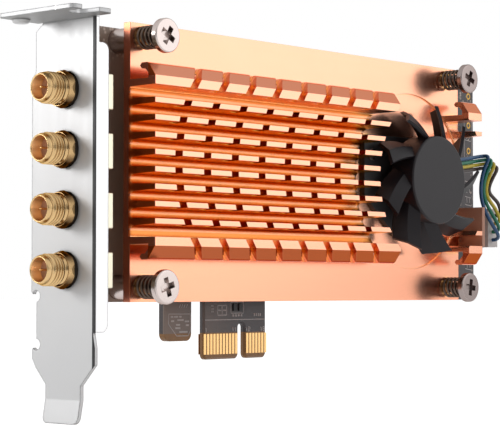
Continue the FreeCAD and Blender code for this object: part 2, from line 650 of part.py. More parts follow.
def fan_tube(label, back, front, outer, inner=None):
    """A round piece on the fan's axis from one distance off the board to another."""
    tube = doc.addObject("Part::Cylinder", label + "_solid")
    bind(tube, Radius=outer, Height="(%s) - (%s)" % (front, back))
    piece = tube
    if inner:
        core = doc.addObject("Part::Cylinder", label + "_bore")
        bind(core, Radius=inner, Height="(%s) - (%s)" % (front, back))
        piece = doc.addObject("Part::Cut", label + "_ring")
        piece.Base = tube
        piece.Tool = core
    piece.Placement = Placement(Vector(0, 0, 0), LIE_BACK)
    bind(piece, **{".Placement.Base.x": "fan_axis", ".Placement.Base.y": "-(%s)" % back,
                   ".Placement.Base.z": "sink_middle"})
    return piece


FLOOR = "sink_face - pocket_sink"
BASE_TOP = FLOOR + " + base_thickness"


def make_fan_inside():
    roof = "hub_front - hub_wall"
    keep(fan_tube("rotor_magnet", roof + " - magnet_length", roof, "hub_radius - hub_wall",
                  "hub_radius - hub_wall - magnet_wall"), "rotor_magnet")
    keep(fan_tube("rotor_shaft", BASE_TOP + " + 0.4", roof, "shaft_radius"), "rotor_shaft")
    keep(fan_tube("fan_bearing", BASE_TOP + " + 0.1", roof + " - rotor_gap", "bearing_radius",
                  "shaft_radius + shaft_play"), "fan_bearing")
    body = new_body("fan_base")
    sketch = new_sketch(body, "base_outline", "XZ_Plane", FLOOR)
    outline(sketch, [
        ("fan_axis - 18.4", "sink_middle - 4"), ("fan_axis - 18.4", "sink_middle + 8.6"),
        ("fan_axis - 16.6", "sink_middle + 10.2"), ("fan_axis + 7.5", "sink_middle + 10.2"),
        ("fan_axis + 18.0", "sink_middle + 6.4"), ("fan_axis + 18.0", "sink_middle - 6.4"),
        ("fan_axis + 7.5", "sink_middle - 13.2"), ("fan_axis - 6.6", "sink_middle - 13.2"),
    ])
    pad(body, sketch, "base_plate", "base_thickness")
    tube = new_sketch(body, "tube_outline", "XZ_Plane", BASE_TOP)
    circle(tube, "fan_axis", "sink_middle", "tube_radius")
    pad(body, tube, "tube", "%s - rotor_gap - (%s)" % (roof, BASE_TOP))
    room = new_sketch(body, "tube_bore_outline", "XZ_Plane", roof)
    circle(room, "fan_axis", "sink_middle", "bearing_radius")
    pocket(body, room, "tube_bore", "%s - (%s) - 0.1" % (roof, BASE_TOP))
    holes = new_sketch(body, "base_holes", "XZ_Plane", BASE_TOP)
    for x, z in base_screw_places():
        circle(holes, x, z, "base_screw_radius")
    pocket(body, holes, "base_drilling", "base_thickness")

    hub = Vector(value("fan_axis"), -value(BASE_TOP + " + stator_lift"), value("sink_middle"))
    start = Vector(0, 0, 0)
    height = value("stator_height")
    outer = value("stator_radius")
    ring = cylinder_along(SOUTH, hub, value("stator_ring"), height)
    ring = ring.cut(cylinder_along(SOUTH, hub, value("tube_radius"), height))
    poles = []
    inner = value("tube_radius") + 0.3
    wide = value("pole_width")
    for turn in range(int(value("stator_poles"))):
        arm = Part.makeBox(wide, height, outer - inner, Vector(-wide / 2, -height, inner))
        shoe = Part.makeCylinder(outer, height, start, SOUTH, value("shoe_angle"))
        shoe = shoe.cut(Part.makeCylinder(outer - value("shoe_thickness"), height, start, SOUTH))
        shoe.rotate(start, SOUTH, -90 - value("shoe_angle") / 2)
        pole = arm.fuse(shoe)
        pole.rotate(start, SOUTH, turn * 360 / value("stator_poles"))
        pole.translate(hub)
        poles.append(pole)
    set_in_code("stator_core", ring.fuse(poles).removeSplitter())

    screws = []
    for x, z in base_screw_places():
        start = Vector(value(x), -value("sink_face - sink_plate"), value(z))
        length = value(BASE_TOP) - value("sink_face - sink_plate")
        shank = cylinder_along(SOUTH, start, value("base_screw_radius") - 0.02, length)
        head = cylinder_along(SOUTH, start + SOUTH * length, value("base_screw_radius") + 0.55, 0.55)
        screws.append(shank.fuse(head).removeSplitter())
    set_in_code("fan_screws", Part.makeCompound(screws))


def make_guard():
    """Upright plate at the end of the heat sink, beside the fan's lead."""
    body = new_body("end_plate", x="sink_right")
    sketch = new_sketch(body, "guard_outline", "YZ_Plane")
    outline(sketch, box_points("-(sink_face + fin_height)", "guard_low",
                               "-(sink_face - sink_plate)", "guard_high"))
    pad(body, sketch, "guard", "guard_thickness")
    hole = new_sketch(body, "guard_hole_outline", "YZ_Plane")
    circle(hole, "-guard_hole_out", "guard_hole_high", "guard_hole")
    pocket(body, hole, "guard_drilling", "guard_hole_depth", reverse=True)


def make_plug():
    """Board header, its plug and the four pins, near the board's right edge."""
    long = "(3 * plug_pitch + 2 * plug_margin)"
    header = new_body("fan_header", x="plug_left", z="plug_low")
    base = new_sketch(header, "header_outline", "XZ_Plane")
    outline(base, box_points("0", "0", "plug_width", long))
    pad(header, base, "header_block", "header_height")
    well = new_sketch(header, "header_well_outline", "XZ_Plane", "header_height")
    outline(well, box_points("0.5", "0.5", "plug_width - 0.5", long + " - 0.5"))
    pocket(header, well, "header_well", "header_height - 0.8")
    drills = new_sketch(header, "header_pin_outline", "XZ_Plane", "0.8")
    for number in range(4):
        circle(drills, "plug_width / 2", "plug_margin + %d * plug_pitch" % number, "pin_radius + pin_play")
    pocket(header, drills, "header_pin_holes", "0.8")
    plug = new_body("fan_plug", x="plug_left", z="plug_low")
    nose = new_sketch(plug, "plug_nose_outline", "XZ_Plane", "1.0")
    outline(nose, box_points("0.55", "0.55", "plug_width - 0.55", long + " - 0.55"))
    pad(plug, nose, "plug_nose", "header_height - 1.0")
    cap = new_sketch(plug, "plug_cap_outline", "XZ_Plane", "header_height")
    outline(cap, box_points("0.15", "0.15", "plug_width - 0.15", long + " - 0.15"))
    pad(plug, cap, "plug_cap", "plug_height")
    bores = new_sketch(plug, "plug_bore_outline", "XZ_Plane", "1.0")
    for number in range(4):
        circle(bores, "plug_width / 2", "plug_margin + %d * plug_pitch" % number, "pin_radius + pin_play")
    pocket(plug, bores, "plug_bores", "2.0", reverse=True)
    pins = []
    for x, z in pin_places():
        place = Vector(value(x), value("board_thickness") + 0.8, value(z))
        pins.append(cylinder_along(SOUTH, place, value("pin_radius"), value("board_thickness") + 0.8 + 2.8))
    set_in_code("header_pins", Part.makeCompound(pins))


def rounded_path(points):
    """Straight runs joined by tangent arcs, each as large as its two runs allow."""
    edges = []
    radii = []
    last = points[0]
    for before, corner, after in zip(points, points[1:], points[2:]):
        into = (corner - before).normalize()
        away = (after - corner).normalize()
        turn = into.getAngle(away)
        reach = 0.45 * min((corner - before).Length, (after - corner).Length)
        radii.append(reach / math.tan(turn / 2))
        start = corner - into * reach
        end = corner + away * reach
        inward = (away - into).normalize()
        depth = radii[-1] * (1 / math.cos(turn / 2) - 1)
        edges.append(Part.LineSegment(last, start).toShape())
        edges.append(Part.Arc(start, corner + inward * depth, end).toShape())
        last = end
    edges.append(Part.LineSegment(last, points[-1]).toShape())
    return Part.Wire(edges), radii


# The four leads lie side by side as a ribbon. It leaves the fan's base over the outlet, is folded
# over on itself near the board's end and hangs down in front to the plug.
ACROSS = Vector(0.665, -0.747, 0)
BEHIND = Vector(0.747, 0.665, 0)
FAN_CENTRE = Vector(value("fan_axis"), 0, value("sink_middle"))
LEAD_START = FAN_CENTRE + Vector(9.1, -8.46, 4.88)
LEAD_MIDDLE = FAN_CENTRE + Vector(15.1, -8.5, 5.58)
LEAD_LEAVES = FAN_CENTRE + Vector(21.0, -8.8, 6.38)
FOLD = FAN_CENTRE + Vector(26.5, -9.3, 7.28)
FOLD_DEPTH = 2.7
FOLD_STEP = Vector(1.3, 0, -0.85)
# Places down the hanging stretch: how far across, down and behind the fold, and how much each
# further lead is raised there, because the plug's four pins stand one above the other
HANGING = [(-1.6, 3.7, 0.5, -0.75), (-2.2, 7.2, 1.1, -0.2), (-2.0, 10.4, 1.9, 0.5),
           (-1.1, 13.2, 2.7, 1.1), (0.6, 16.4, 3.5, 1.65)]
SPREAD = ACROSS * 0.88 + BEHIND * 0.5
ENTRY_REACH = 2.7


def wire_points(number):
    """The hand-chosen route of one lead, numbered from the outermost at the fold."""
    step = value("wire_pitch") * number
    points = [place - UP * step for place in (LEAD_START, LEAD_MIDDLE, LEAD_LEAVES)]
    corner = FOLD + FOLD_STEP * step
    points.append(corner)
    points.append(corner + SOUTH * FOLD_DEPTH)
    top = FOLD + SOUTH * FOLD_DEPTH + SPREAD * step
    for across, down, behind, rise in HANGING:
        points.append(top + ACROSS * across + BEHIND * behind - UP * (down - rise * step))
    x, z = pin_places()[number]
    entry = Vector(value(x), -value("header_height + plug_height"), value(z))
    points.append(entry + SOUTH * ENTRY_REACH)
    points.append(entry)
    return points


def make_wires():
    for number in range(4):
        points = wire_points(number)
        path, radii = rounded_path(points)
        print("fan wire", number + 1, "radii", " ".join("%.1f" % radius for radius in radii))
        disc = Part.Wire(Part.makeCircle(value("wire_radius"), points[0], points[1] - points[0]))
        tube = path.makePipeShell([disc], True, False)
        ratio = tube.Volume / (math.pi * value("wire_radius") ** 2 * path.Length)
        print("fan wire", number + 1, "length %.1f" % path.Length, "volume ratio %.4f" % ratio)
        set_in_code("fan_wire_%d" % (number + 1), tube)


# Small parts on the board, placed where it is bare
CAPACITOR_COLUMNS = [(12.6, 0.0), (14.4, 1.2)]
CAPACITOR_HEIGHTS = [17.0 + 5.6 * row for row in range(9)]
CAPACITOR_ROW = [70.0 + 6.0 * column for column in range(6)]
CAPACITOR_ROW_HEIGHT = 14.2
COIL_PLACES = [(104.0, 15.0), (110.0, 15.0), (134.0, 52.0)]


def rounded_upright(box):
    """A box whose four edges that stand off the board are rounded."""
    return box.makeFillet(0.3, [edge for edge in box.Edges if runs_along(edge, NORTH)])


def make_electronics():
    """Radio modules, bridge chip, heat pads and the small parts that the board carries."""
    gap = value("sink_face - sink_plate")
    middle = value("sink_middle")
    inset = value("pad_inset")
    pads = []
    for number in range(2):
        left = "module_left + %d * (module_width + module_gap)" % number
        body = new_body("radio_module_%d" % (number + 1))
        can = new_sketch(body, "can_outline", "XZ_Plane")
        outline(can, box_points(left, "sink_middle - module_height / 2",
                                left + " + module_width", "sink_middle + module_height / 2"))
        pad(body, can, "can", "shield_height")
        round_edges(body, "can_rounding", "can_round", lambda edge, place: runs_along(edge, NORTH))
        wide = value("module_width") - 2 * inset
        tall = value("pad_height")
        corner = Vector(value(left) + inset, -gap, middle - tall / 2)
        pads.append(Part.makeBox(wide, gap - value("shield_height"), tall, corner))
    bridge_left = "module_left + 2 * module_width + module_gap + bridge_gap"
    bridge = new_body("bridge_chip", x=bridge_left, z="sink_middle - bridge_side / 2")
    chip = new_sketch(bridge, "chip_outline", "XZ_Plane")
    outline(chip, box_points("0", "0", "bridge_side", "bridge_side"))
    pad(bridge, chip, "chip", "bridge_height")
    inset = value("bridge_pad_inset")
    side = value("bridge_side") - 2 * inset
    corner = Vector(value(bridge_left) + inset, -gap, middle - side / 2)
    pads.append(Part.makeBox(side, gap - value("bridge_height"), side, corner))
    set_in_code("thermal_pads", Part.makeCompound(pads))

    long = value("capacitor_long")
    short = value("capacitor_short")
    out = value("capacitor_out")
    capacitors = []
    for height in CAPACITOR_HEIGHTS:
        for x, lift in CAPACITOR_COLUMNS:
            capacitors.append(Part.makeBox(short, out, long, Vector(x, -out, height + lift)))
    for x in CAPACITOR_ROW:
        capacitors.append(Part.makeBox(long, out, short, Vector(x, -out, CAPACITOR_ROW_HEIGHT)))
    set_in_code("capacitors", Part.makeCompound(capacitors))

    side = value("coil_side")
    out = value("coil_out")
    coils = [Part.makeBox(side, out, side, Vector(x, -out, z)) for x, z in COIL_PLACES]
    set_in_code("inductors", Part.makeCompound([rounded_upright(coil) for coil in coils]))
    out = value("crystal_out")
    corner = Vector(value(bridge_left + " + crystal_past"), -out, value("sink_middle + crystal_rise"))
    can = Part.makeBox(value("crystal_width"), out, value("crystal_height"), corner)
    set_in_code("crystal", rounded_upright(can))


def check_and_write():
    doc.recompute()
    for item in doc.Objects:
        if "Invalid" in item.State or "Error" in item.State:
            raise RuntimeError("%s failed: %s" % (item.Label, item.State))
    os.makedirs("parts", exist_ok=True)
    for item in parts:
        shape = item.Shape
        if shape.isNull() or not shape.isValid() or shape.Volume <= 0:
            raise RuntimeError("%s has no sound shape" % item.Label)
        shape.exportStep("parts/%s.step" % item.Label)
    print("pieces written:", len(parts))


make_board()
make_contacts()
make_bracket()
make_heat_sink()
make_screws()
make_springs()
make_standoffs()
make_jacks()
make_jack_hardware()
make_rotor()
make_fan_inside()
make_guard()
make_plug()
make_wires()
make_electronics()
check_and_write()
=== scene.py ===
# %% [markdown]
# # A wireless network card, finished for a catalogue picture
# The card's solids come from the construction model, already at their real size and place.
# This lesson gives each of them its finish, adds the fine forms that were left out there
# (screw threads, printed marks, smooth leads), and sets up the light and the camera.

# %% Load the card
import bpy
import bmesh
import math
from mathutils import Matrix, Vector


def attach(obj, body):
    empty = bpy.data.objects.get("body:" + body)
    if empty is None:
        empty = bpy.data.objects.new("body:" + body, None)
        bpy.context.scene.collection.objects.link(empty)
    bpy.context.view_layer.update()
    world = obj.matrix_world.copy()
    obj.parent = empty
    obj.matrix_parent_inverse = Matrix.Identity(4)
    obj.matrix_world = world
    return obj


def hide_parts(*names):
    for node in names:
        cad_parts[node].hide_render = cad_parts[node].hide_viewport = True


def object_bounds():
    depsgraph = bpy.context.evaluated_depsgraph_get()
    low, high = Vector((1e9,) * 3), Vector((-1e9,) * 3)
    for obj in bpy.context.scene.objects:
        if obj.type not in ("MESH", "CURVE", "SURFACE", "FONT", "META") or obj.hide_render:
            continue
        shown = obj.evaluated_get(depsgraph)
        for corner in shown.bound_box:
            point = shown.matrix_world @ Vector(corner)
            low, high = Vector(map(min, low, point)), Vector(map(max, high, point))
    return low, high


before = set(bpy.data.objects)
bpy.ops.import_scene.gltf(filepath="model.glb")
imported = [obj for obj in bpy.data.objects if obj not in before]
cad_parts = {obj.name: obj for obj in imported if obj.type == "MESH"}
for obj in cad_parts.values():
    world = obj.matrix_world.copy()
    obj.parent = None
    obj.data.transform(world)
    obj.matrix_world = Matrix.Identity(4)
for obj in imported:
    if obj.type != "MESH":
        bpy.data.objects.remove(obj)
cad_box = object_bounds()
MM = 0.001
CARD = "card"

# %% [markdown]
# ## The camera
# The picture was taken from the bracket's side, a little below the card's middle, with a long
# lens. A camera's axes can be written down straight away: "back" points from the subject to the
# lens, "right" lies level, and "up" is the cross product of the two. Building the matrix from
# these three is shorter than chaining rotations and can be checked by eye.

# %% Camera
IMAGE_WIDTH = 500
FOCAL_PIXELS = 1877.9
SENSOR_MM = 36.0
CAMERA_PLACE = Vector((-247.94, -275.30, 15.24)) * MM
CAMERA_AZIMUTH = math.radians(-48.330)
CAMERA_TILT = math.radians(-2.291)

back = Vector((math.sin(CAMERA_AZIMUTH) * math.cos(CAMERA_TILT),
               -math.cos(CAMERA_AZIMUTH) * math.cos(CAMERA_TILT), math.sin(CAMERA_TILT)))
right = Vector((math.cos(CAMERA_AZIMUTH), math.sin(CAMERA_AZIMUTH), 0))
up = back.cross(right)
turn = Matrix((right, up, back)).transposed().to_4x4()

lens = bpy.data.cameras.new("camera")
lens.sensor_width = SENSOR_MM
lens.lens = FOCAL_PIXELS / IMAGE_WIDTH * SENSOR_MM
lens.clip_start = 0.01
camera = bpy.data.objects.new("camera", lens)
camera.matrix_world = Matrix.Translation(CAMERA_PLACE) @ turn
bpy.context.scene.collection.objects.link(camera)
bpy.context.scene.camera = camera
print("lens %.1f mm" % lens.lens)

# %% [markdown]
# ## Colours
# Colours are easiest to read as the 0-255 numbers that a picture shows, but the shader wants
# linear light. The change from one to the other is a short formula, so one helper does it.

# %% Helper for colours
def colour(red, green, blue):
    """A colour as seen on a screen, turned into linear light."""
    linear = []
    for part in (red, green, blue):
        share = part / 255
        linear.append(share / 12.92 if share <= 0.04045 else ((share + 0.055) / 1.055) ** 2.4)
    return (*linear, 1.0)


print("mid grey as linear light: %.3f" % colour(128, 128, 128)[0])

# %% [markdown]
# ## Nodes
# A finish is a small network of nodes. Adding each node by hand takes four or five lines, so a
# class adds one with its settings and joins it in a single call. The next cells build on it, each
# with one more group of helpers, until the last of them is a whole finish.

# %% Helper that adds nodes
def helpers_of(kind):
    """The names of the helpers that a class brings."""
    return ", ".join(name for name in vars(kind) if not name.startswith("_"))


class NodeMaker:
    """Short ways to add and join the nodes of one network."""

    def __init__(self, tree):
        self.tree = tree

    def add(self, kind, settings=None, **sockets):
        node = self.tree.nodes.new("ShaderNode" + kind)
        for name, setting in (settings or {}).items():
            setattr(node, name, setting)
        for socket, setting in sockets.items():
            self.give(setting, node.inputs[socket.replace("_", " ")])
        return node

    def give(self, setting, socket):
        """Links a node's output to a socket, or writes a plain value there."""
        if isinstance(setting, bpy.types.NodeSocket):
            self.tree.links.new(setting, socket)
        else:
            socket.default_value = setting


print("node helpers:", helpers_of(NodeMaker))

# %% [markdown]
# ## Sums with nodes
# Masks are made by a few kinds of sum: a product keeps what lies in both masks, the larger of two
# keeps what lies in either, a mapping turns a slow change into a soft or a sharp one, and a mix
# chooses between two values. A sky uses the same sums as a finish, so they get their own class.

# %% Helper for sums
MIX_PLACES = {"FLOAT": (2, 3, 0), "VECTOR": (4, 5, 1), "RGBA": (6, 7, 2)}


class Network(NodeMaker):
    """A network of nodes with the sums that its masks need."""

    def calculate(self, operation, *values):
        node = self.add("Math", {"operation": operation})
        for socket, setting in zip(node.inputs, values):
            self.give(setting, socket)
        return node.outputs[0]

    def times(self, first, second):
        return self.calculate("MULTIPLY", first, second)

    def larger(self, first, second):
        return self.calculate("MAXIMUM", first, second)

    def agreement(self, first, second):
        """1 where two directions are the same, and 0 where they are square to each other."""
        node = self.add("VectorMath", {"operation": "DOT_PRODUCT"})
        self.give(first, node.inputs[0])
        self.give(second, node.inputs[1])
        return node.outputs["Value"]

    def spread(self, pattern, low, high, start=0.0, end=1.0, curve="LINEAR"):
        """Maps a pattern between two numbers to a range of values."""
        node = self.add("MapRange", {"interpolation_type": curve}, Value=pattern)
        for socket, setting in (("From Min", start), ("From Max", end), ("To Min", low), ("To Max", high)):
            node.inputs[socket].default_value = setting
        return node.outputs["Result"]

    def opposite(self, pattern):
        return self.spread(pattern, 1.0, 0.0)

    def mix(self, share, first, second, kind="RGBA"):
        """The first where the share is 0, the second where it is 1."""
        start, end, result = MIX_PLACES[kind]
        node = self.add("Mix", {"data_type": kind})
        for setting, index in ((share, 0), (first, start), (second, end)):
            self.give(setting, node.inputs[index])
        return node.outputs[result]


print("sums:", helpers_of(Network))

# %% [markdown]
# ## Places and patterns on a surface
# Where a shade lies can be read off the surface itself: from the object's own coordinates, from
# the way it faces, from how open it lies, and from how near an edge is. A noise adds the grain.
# None of this needs a picture wrapped around the part, so no seams can show.

# %% Helper for places and patterns
class Surface(Network):
    """What can be read off a surface."""

    def place(self, stretch=(1, 1, 1), turn=(0, 0, 0)):
        """Object coordinates, stretched so that a grain can run one way."""
        where = self.add("TexCoord").outputs["Object"]
        return self.add("Mapping", Vector=where, Scale=stretch, Rotation=turn).outputs["Vector"]

    def coordinate(self, axis):
        """The object's own X, Y or Z, in metres."""
        return self.add("SeparateXYZ", Vector=self.add("TexCoord").outputs["Object"]).outputs[axis]

    def within(self, axis, low_mm, high_mm):
        """1 between two places along an axis, else 0."""
        middle = (low_mm + high_mm) / 2 * MM
        reach = (high_mm - low_mm) / 2 * MM
        return self.calculate("COMPARE", self.coordinate(axis), middle, reach)

    def rising(self, axis, start_mm, end_mm):
        """0 up to one place along an axis, then evenly up to 1 at another."""
        return self.spread(self.coordinate(axis), 0.0, 1.0, start_mm * MM, end_mm * MM)

    def facing(self, axis):
        """1 where the surface faces along an axis, either way, and 0 where it lies along it."""
        normal = self.add("NewGeometry").outputs["Normal"]
        return self.calculate("ABSOLUTE", self.add("SeparateXYZ", Vector=normal).outputs[axis])

    def noise(self, scale, detail=3.0, stretch=(1, 1, 1)):
        return self.add("TexNoise", Vector=self.place(stretch), Scale=scale, Detail=detail).outputs["Fac"]

    def hollows(self, reach_mm):
        """1 on open faces, down to 0 deep in a corner or recess."""
        return self.add("AmbientOcclusion", {"samples": 6}, Distance=reach_mm * MM).outputs["AO"]

    def rounded(self, radius_mm):
        """A normal that turns over within this distance of an edge, as if it were rounded."""
        return self.add("Bevel", {"samples": 4}, Radius=radius_mm * MM).outputs["Normal"]


print("surface helpers:", helpers_of(Surface))

# %% [markdown]
# ## A finish
# A finish is one material. A value that never changes is set on the shader's own socket; only
# what varies over the surface gets a node. Shades are laid over each other like coats of paint,
# each with its mask, and a relief too fine to be modelled is left to the bump.

# %% Helper for a finish
class Finish(Surface):
    """One material and the patterns that drive it."""

    def __init__(self, name, **sockets):
        self.material = bpy.data.materials.new(name)
        self.material.use_nodes = True
        super().__init__(self.material.node_tree)
        self.shader = self.tree.nodes["Principled BSDF"]
        for socket, setting in sockets.items():
            self.drive(socket.replace("_", " "), setting)

    def drive(self, socket, setting):
        self.give(setting, self.shader.inputs[socket])

    def paint(self, shade):
        self.shade = shade
        self.drive("Base Color", shade)

    def tint(self, share, shade):
        """Lays another shade over the paint so far, where the share is 1."""
        self.paint(self.mix(share, self.shade, shade))

    def roughen(self, pattern, low, high):
        self.drive("Roughness", self.spread(pattern, low, high))

    def emboss(self, pattern, strength, depth_mm, edge_mm=0.0):
        """Relief from a pattern, over edges that catch the light as if slightly rounded."""
        self.relief = self.add("Bump", Height=pattern, Strength=strength, Distance=depth_mm * MM)
        if edge_mm:
            self.give(self.rounded(edge_mm), self.relief.inputs["Normal"])
        self.drive("Normal", self.relief.outputs["Normal"])


print("finish helpers:", helpers_of(Finish))

# %% [markdown]
# ## Dressing the solids
# A solid from the construction model keeps its shape and its place. It only gets a material, and
# several solids of one stock share it, so that they can be changed together.

# %% Helper for dressing solids
def dress(finish, *nodes):
    """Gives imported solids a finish."""
    for node in nodes:
        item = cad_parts[node]
        if not item.material_slots:
            item.data.materials.append(finish.material)
        for slot in item.material_slots:
            slot.material = finish.material
    print(finish.material.name, "on", len(nodes), "solids")


print("solids to dress:", len(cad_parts))

# %% [markdown]
# ## Satin metals
# Anodised or plated metal is never one flat colour: a fine grain catches the light, and areas that are
# handled go a little duller. A fine noise drives the roughness and a slight bump, a slow one shifts the
# colour, and where a recess colour is given, the hollows get a painted shade.

# %% Satin metal
def satin_metal(name, main, tinge, roughness, grain=900.0, stretch=(1, 1, 1), bump=0.05,
                edge_mm=0.12, recess=None, reach_mm=1.0, metal=1.0):
    finish = Finish(name, Metallic=metal, Specular_Tint=main)
    finish.paint(finish.mix(finish.noise(60.0, 2.0), main, tinge))
    # Painted shade: the hollows that ambient occlusion finds take the recess colour.
    if recess:
        finish.tint(finish.spread(finish.hollows(reach_mm), 1.0, 0.0, 0.15, 0.75), recess)
    fine = finish.noise(grain, 4.0, stretch)
    finish.roughen(fine, roughness * 0.85, roughness * 1.2)
    finish.emboss(fine, bump, 0.05, edge_mm)
    return finish


contact_gold = satin_metal("contact gold", colour(246, 204, 144), colour(236, 186, 122), 0.3,
                           900.0, (1, 1, 0.1), edge_mm=0.0)
spring_wire = satin_metal("spring wire", colour(112, 98, 88), colour(84, 72, 64), 0.34)
tinned = satin_metal("tinned can", colour(208, 207, 202), colour(196, 195, 190), 0.32)
bronze = satin_metal("bearing bronze", colour(176, 132, 88), colour(160, 118, 78), 0.4)
dark_steel = satin_metal("dark steel", colour(130, 130, 132), colour(112, 112, 114), 0.4)

dress(contact_gold, "edge_contacts")
dress(spring_wire, "springs")
dress(tinned, "radio_module_1", "radio_module_2", "crystal")
dress(bronze, "fan_bearing")
dress(dark_steel, "stator_core", "rotor_magnet")

# %% [markdown]
# ## Nickel
# Screws and spacers are nickel plated. Those at the card's far end stand in a duller part of the room, so a
# painted shade darkens the nickel evenly along the card instead of one shade for all. The hollows get a
# painted shade as well.

# %% Nickel
NICKEL_SHADE_FROM, NICKEL_SHADE_FULL = 50, 130

# The recess colour is the painted shade of the hollows.
nickel = satin_metal("nickel", colour(204, 192, 187), colour(190, 177, 173), 0.25, 900.0,
                     recess=colour(62, 48, 42), reach_mm=1.1)
# Painted shade that grows along the card toward its far end.
nickel.tint(nickel.rising("X", NICKEL_SHADE_FROM, NICKEL_SHADE_FULL), colour(146, 134, 131))
dress(nickel, "spring_screws", "standoffs", "header_pins", "rotor_shaft", "fan_screws")

# %% [markdown]
# ## The heat sink: anodised aluminium
# The heat sink is an extrusion, anodised in a copper colour under a clear layer. Its grain runs along the
# card, so the noise is stretched that way. Toward its foot the plate gets a painted shade, a little darker
# and redder.

# %% Heat sink anodising
FOOT_SHADE_FULL_BELOW, FOOT_SHADE_GONE_ABOVE = 18, 32

copper = satin_metal("copper anodising", colour(246, 173, 136), colour(242, 165, 126), 0.22, 900.0,
                     (0.08, 1, 1), 0.03, 0.15)
copper.drive("Coat IOR", 1.75)
copper.drive("Coat Roughness", 0.3)
# Painted shade toward the plate's foot.
copper.tint(copper.opposite(copper.rising("Z", FOOT_SHADE_FULL_BELOW, FOOT_SHADE_GONE_ABOVE)), colour(240, 158, 118))
print("heat sink nodes so far:", len(copper.tree.nodes))

# %% [markdown]
# ## The heat sink: slopes of the lips
# Above and below the fins a hooked lip runs along the card. Its outer slope leans away from the lamps, so
# it gets a painted shade: the upper one a little darker than the plate, and the lower one much darker. Both
# are found by their height above the plate and their distance from the middle line.

# %% Slopes of the lips
SINK_MIDDLE = 40.72
SLOPE_TIP, SLOPE_FOOT, SLOPE_OUT = -14.6, -12.45, 16.96
LOWER_LIP = (20.0, 24.0)

off_middle = copper.opposite(copper.within("Z", SINK_MIDDLE - SLOPE_OUT, SINK_MIDDLE + SLOPE_OUT))
lip_slope = copper.times(copper.within("Y", SLOPE_TIP, SLOPE_FOOT), off_middle)
# Painted shade on the lips' outer slopes, darker on the lower lip.
slope_painted_shade = copper.mix(copper.within("Z", *LOWER_LIP), colour(214, 148, 122), colour(174, 98, 68))
copper.tint(lip_slope, slope_painted_shade)
print("lip slopes start %.2f mm from the middle line" % SLOPE_OUT)

# %% [markdown]
# ## The heat sink: rounded valleys
# The valleys between the fins are rounded, not square, and so their upper side mirrors the next
# fin. A finer mesh could show that, but rounding only the normals over a wider distance there
# gives the same look at this size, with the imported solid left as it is.

# %% Rounded valleys
VALLEY_BOTTOM, VALLEY_TOP = 25.8, 55.6
FIN_TIPS, ROUNDED_FROM, FLOOR_FROM, PLATE_INNER = -14.35, -9.3, -8.3, -7.0
EDGE_RADIUS, VALLEY_RADIUS = 0.15, 1.1

between_lips = copper.within("Z", VALLEY_BOTTOM, VALLEY_TOP)
valley = copper.times(copper.within("Y", ROUNDED_FROM, PLATE_INNER), between_lips)
normals = copper.mix(valley, copper.rounded(EDGE_RADIUS), copper.rounded(VALLEY_RADIUS), "VECTOR")
copper.give(normals, copper.relief.inputs["Normal"])
print("valleys lie between %.1f and %.1f mm" % (VALLEY_BOTTOM, VALLEY_TOP))

# %% [markdown]
# ## The heat sink: a painted light line in each valley
# A rounded valley mirrors the light in one narrow line, just above its middle, and here that line is a
# painted highlight. The height is divided by the fins' pitch and wrapped to run from -0.5 to 0.5, so that 0
# is the middle of every valley at once. One formula then draws all the lines, and they follow the pitch.

# %% Light line
FIN_PITCH = 3.45
LINE_LOW, LINE_HIGH, LINE_SOFT = -0.02, 0.17, 0.05

pitches = copper.calculate("MULTIPLY_ADD", copper.coordinate("Z"), 1 / (FIN_PITCH * MM),
                           -SINK_MIDDLE / FIN_PITCH)
from_middle = copper.calculate("WRAP", pitches, 0.5, -0.5)
line_foot = copper.spread(from_middle, 0.0, 1.0, LINE_LOW, LINE_LOW + LINE_SOFT)
line_head = copper.spread(from_middle, 1.0, 0.0, LINE_HIGH - LINE_SOFT, LINE_HIGH)
on_floor = copper.times(valley, copper.within("Y", FLOOR_FROM, PLATE_INNER))
painted_highlight_line = copper.times(copper.times(line_foot, line_head), on_floor)
# Painted highlight: the light line on each valley floor.
copper.tint(painted_highlight_line, colour(240, 160, 104))
print("a line is about %.1f mm wide" % ((LINE_HIGH - LINE_LOW - LINE_SOFT) * FIN_PITCH))

# %% [markdown]
# ## The heat sink: painted shade on sheltered metal
# Light that leaves a narrow valley has met the copper colour several times, and each time it lost more
# green and blue. So the sheltered faces look deep orange, and the milled groove walls, which face along the
# card, look red-brown. More light bounces would cost time, so this light and shade are painted into the
# colour.

# %% Sheltered metal
FINS_START, FINS_END = 10.0, 104.0
OPEN_AT, CLOSED_AT, DEEPEST_AT = 0.62, 0.2, 0.04

below_tips = copper.times(copper.within("Y", FIN_TIPS, PLATE_INNER), between_lips)
inside = copper.times(below_tips, copper.within("X", FINS_START, FINS_END))
openness = copper.hollows(3.0)
sheltered = copper.larger(copper.spread(openness, 1.0, 0.0, CLOSED_AT, OPEN_AT), inside)
deep = copper.times(sheltered, copper.opposite(painted_highlight_line))
deepest = copper.spread(openness, 1.0, 0.0, DEEPEST_AT, CLOSED_AT)
valley_painted_shade = copper.mix(on_floor, colour(250, 206, 108), colour(221, 138, 73))
# Painted light and shade in the valleys: deep orange, darker still in the deepest hollows.
copper.tint(deep, copper.mix(deepest, valley_painted_shade, colour(176, 96, 50)))
groove_wall = copper.times(inside, copper.spread(copper.facing("X"), 0.0, 1.0, 0.4, 0.7))
# Painted shade: red-brown on the groove walls.
copper.tint(groove_wall, colour(160, 72, 34))
print("heat sink nodes:", len(copper.tree.nodes))

# %% [markdown]
# ## The heat sink: painted shade on the sawn end, and clear layer
# The end toward the bracket was sawn off. It faces the bracket and lies in its shade, so it gets a painted
# shade, darker than the plate. The clear layer shows on the open faces only: deep in a valley and on the
# slopes it has no lamp to mirror, and a grey sheen there would wash the orange out.

# %% Painted shade on the sawn end, and clear layer
SINK_LEFT = 16.86

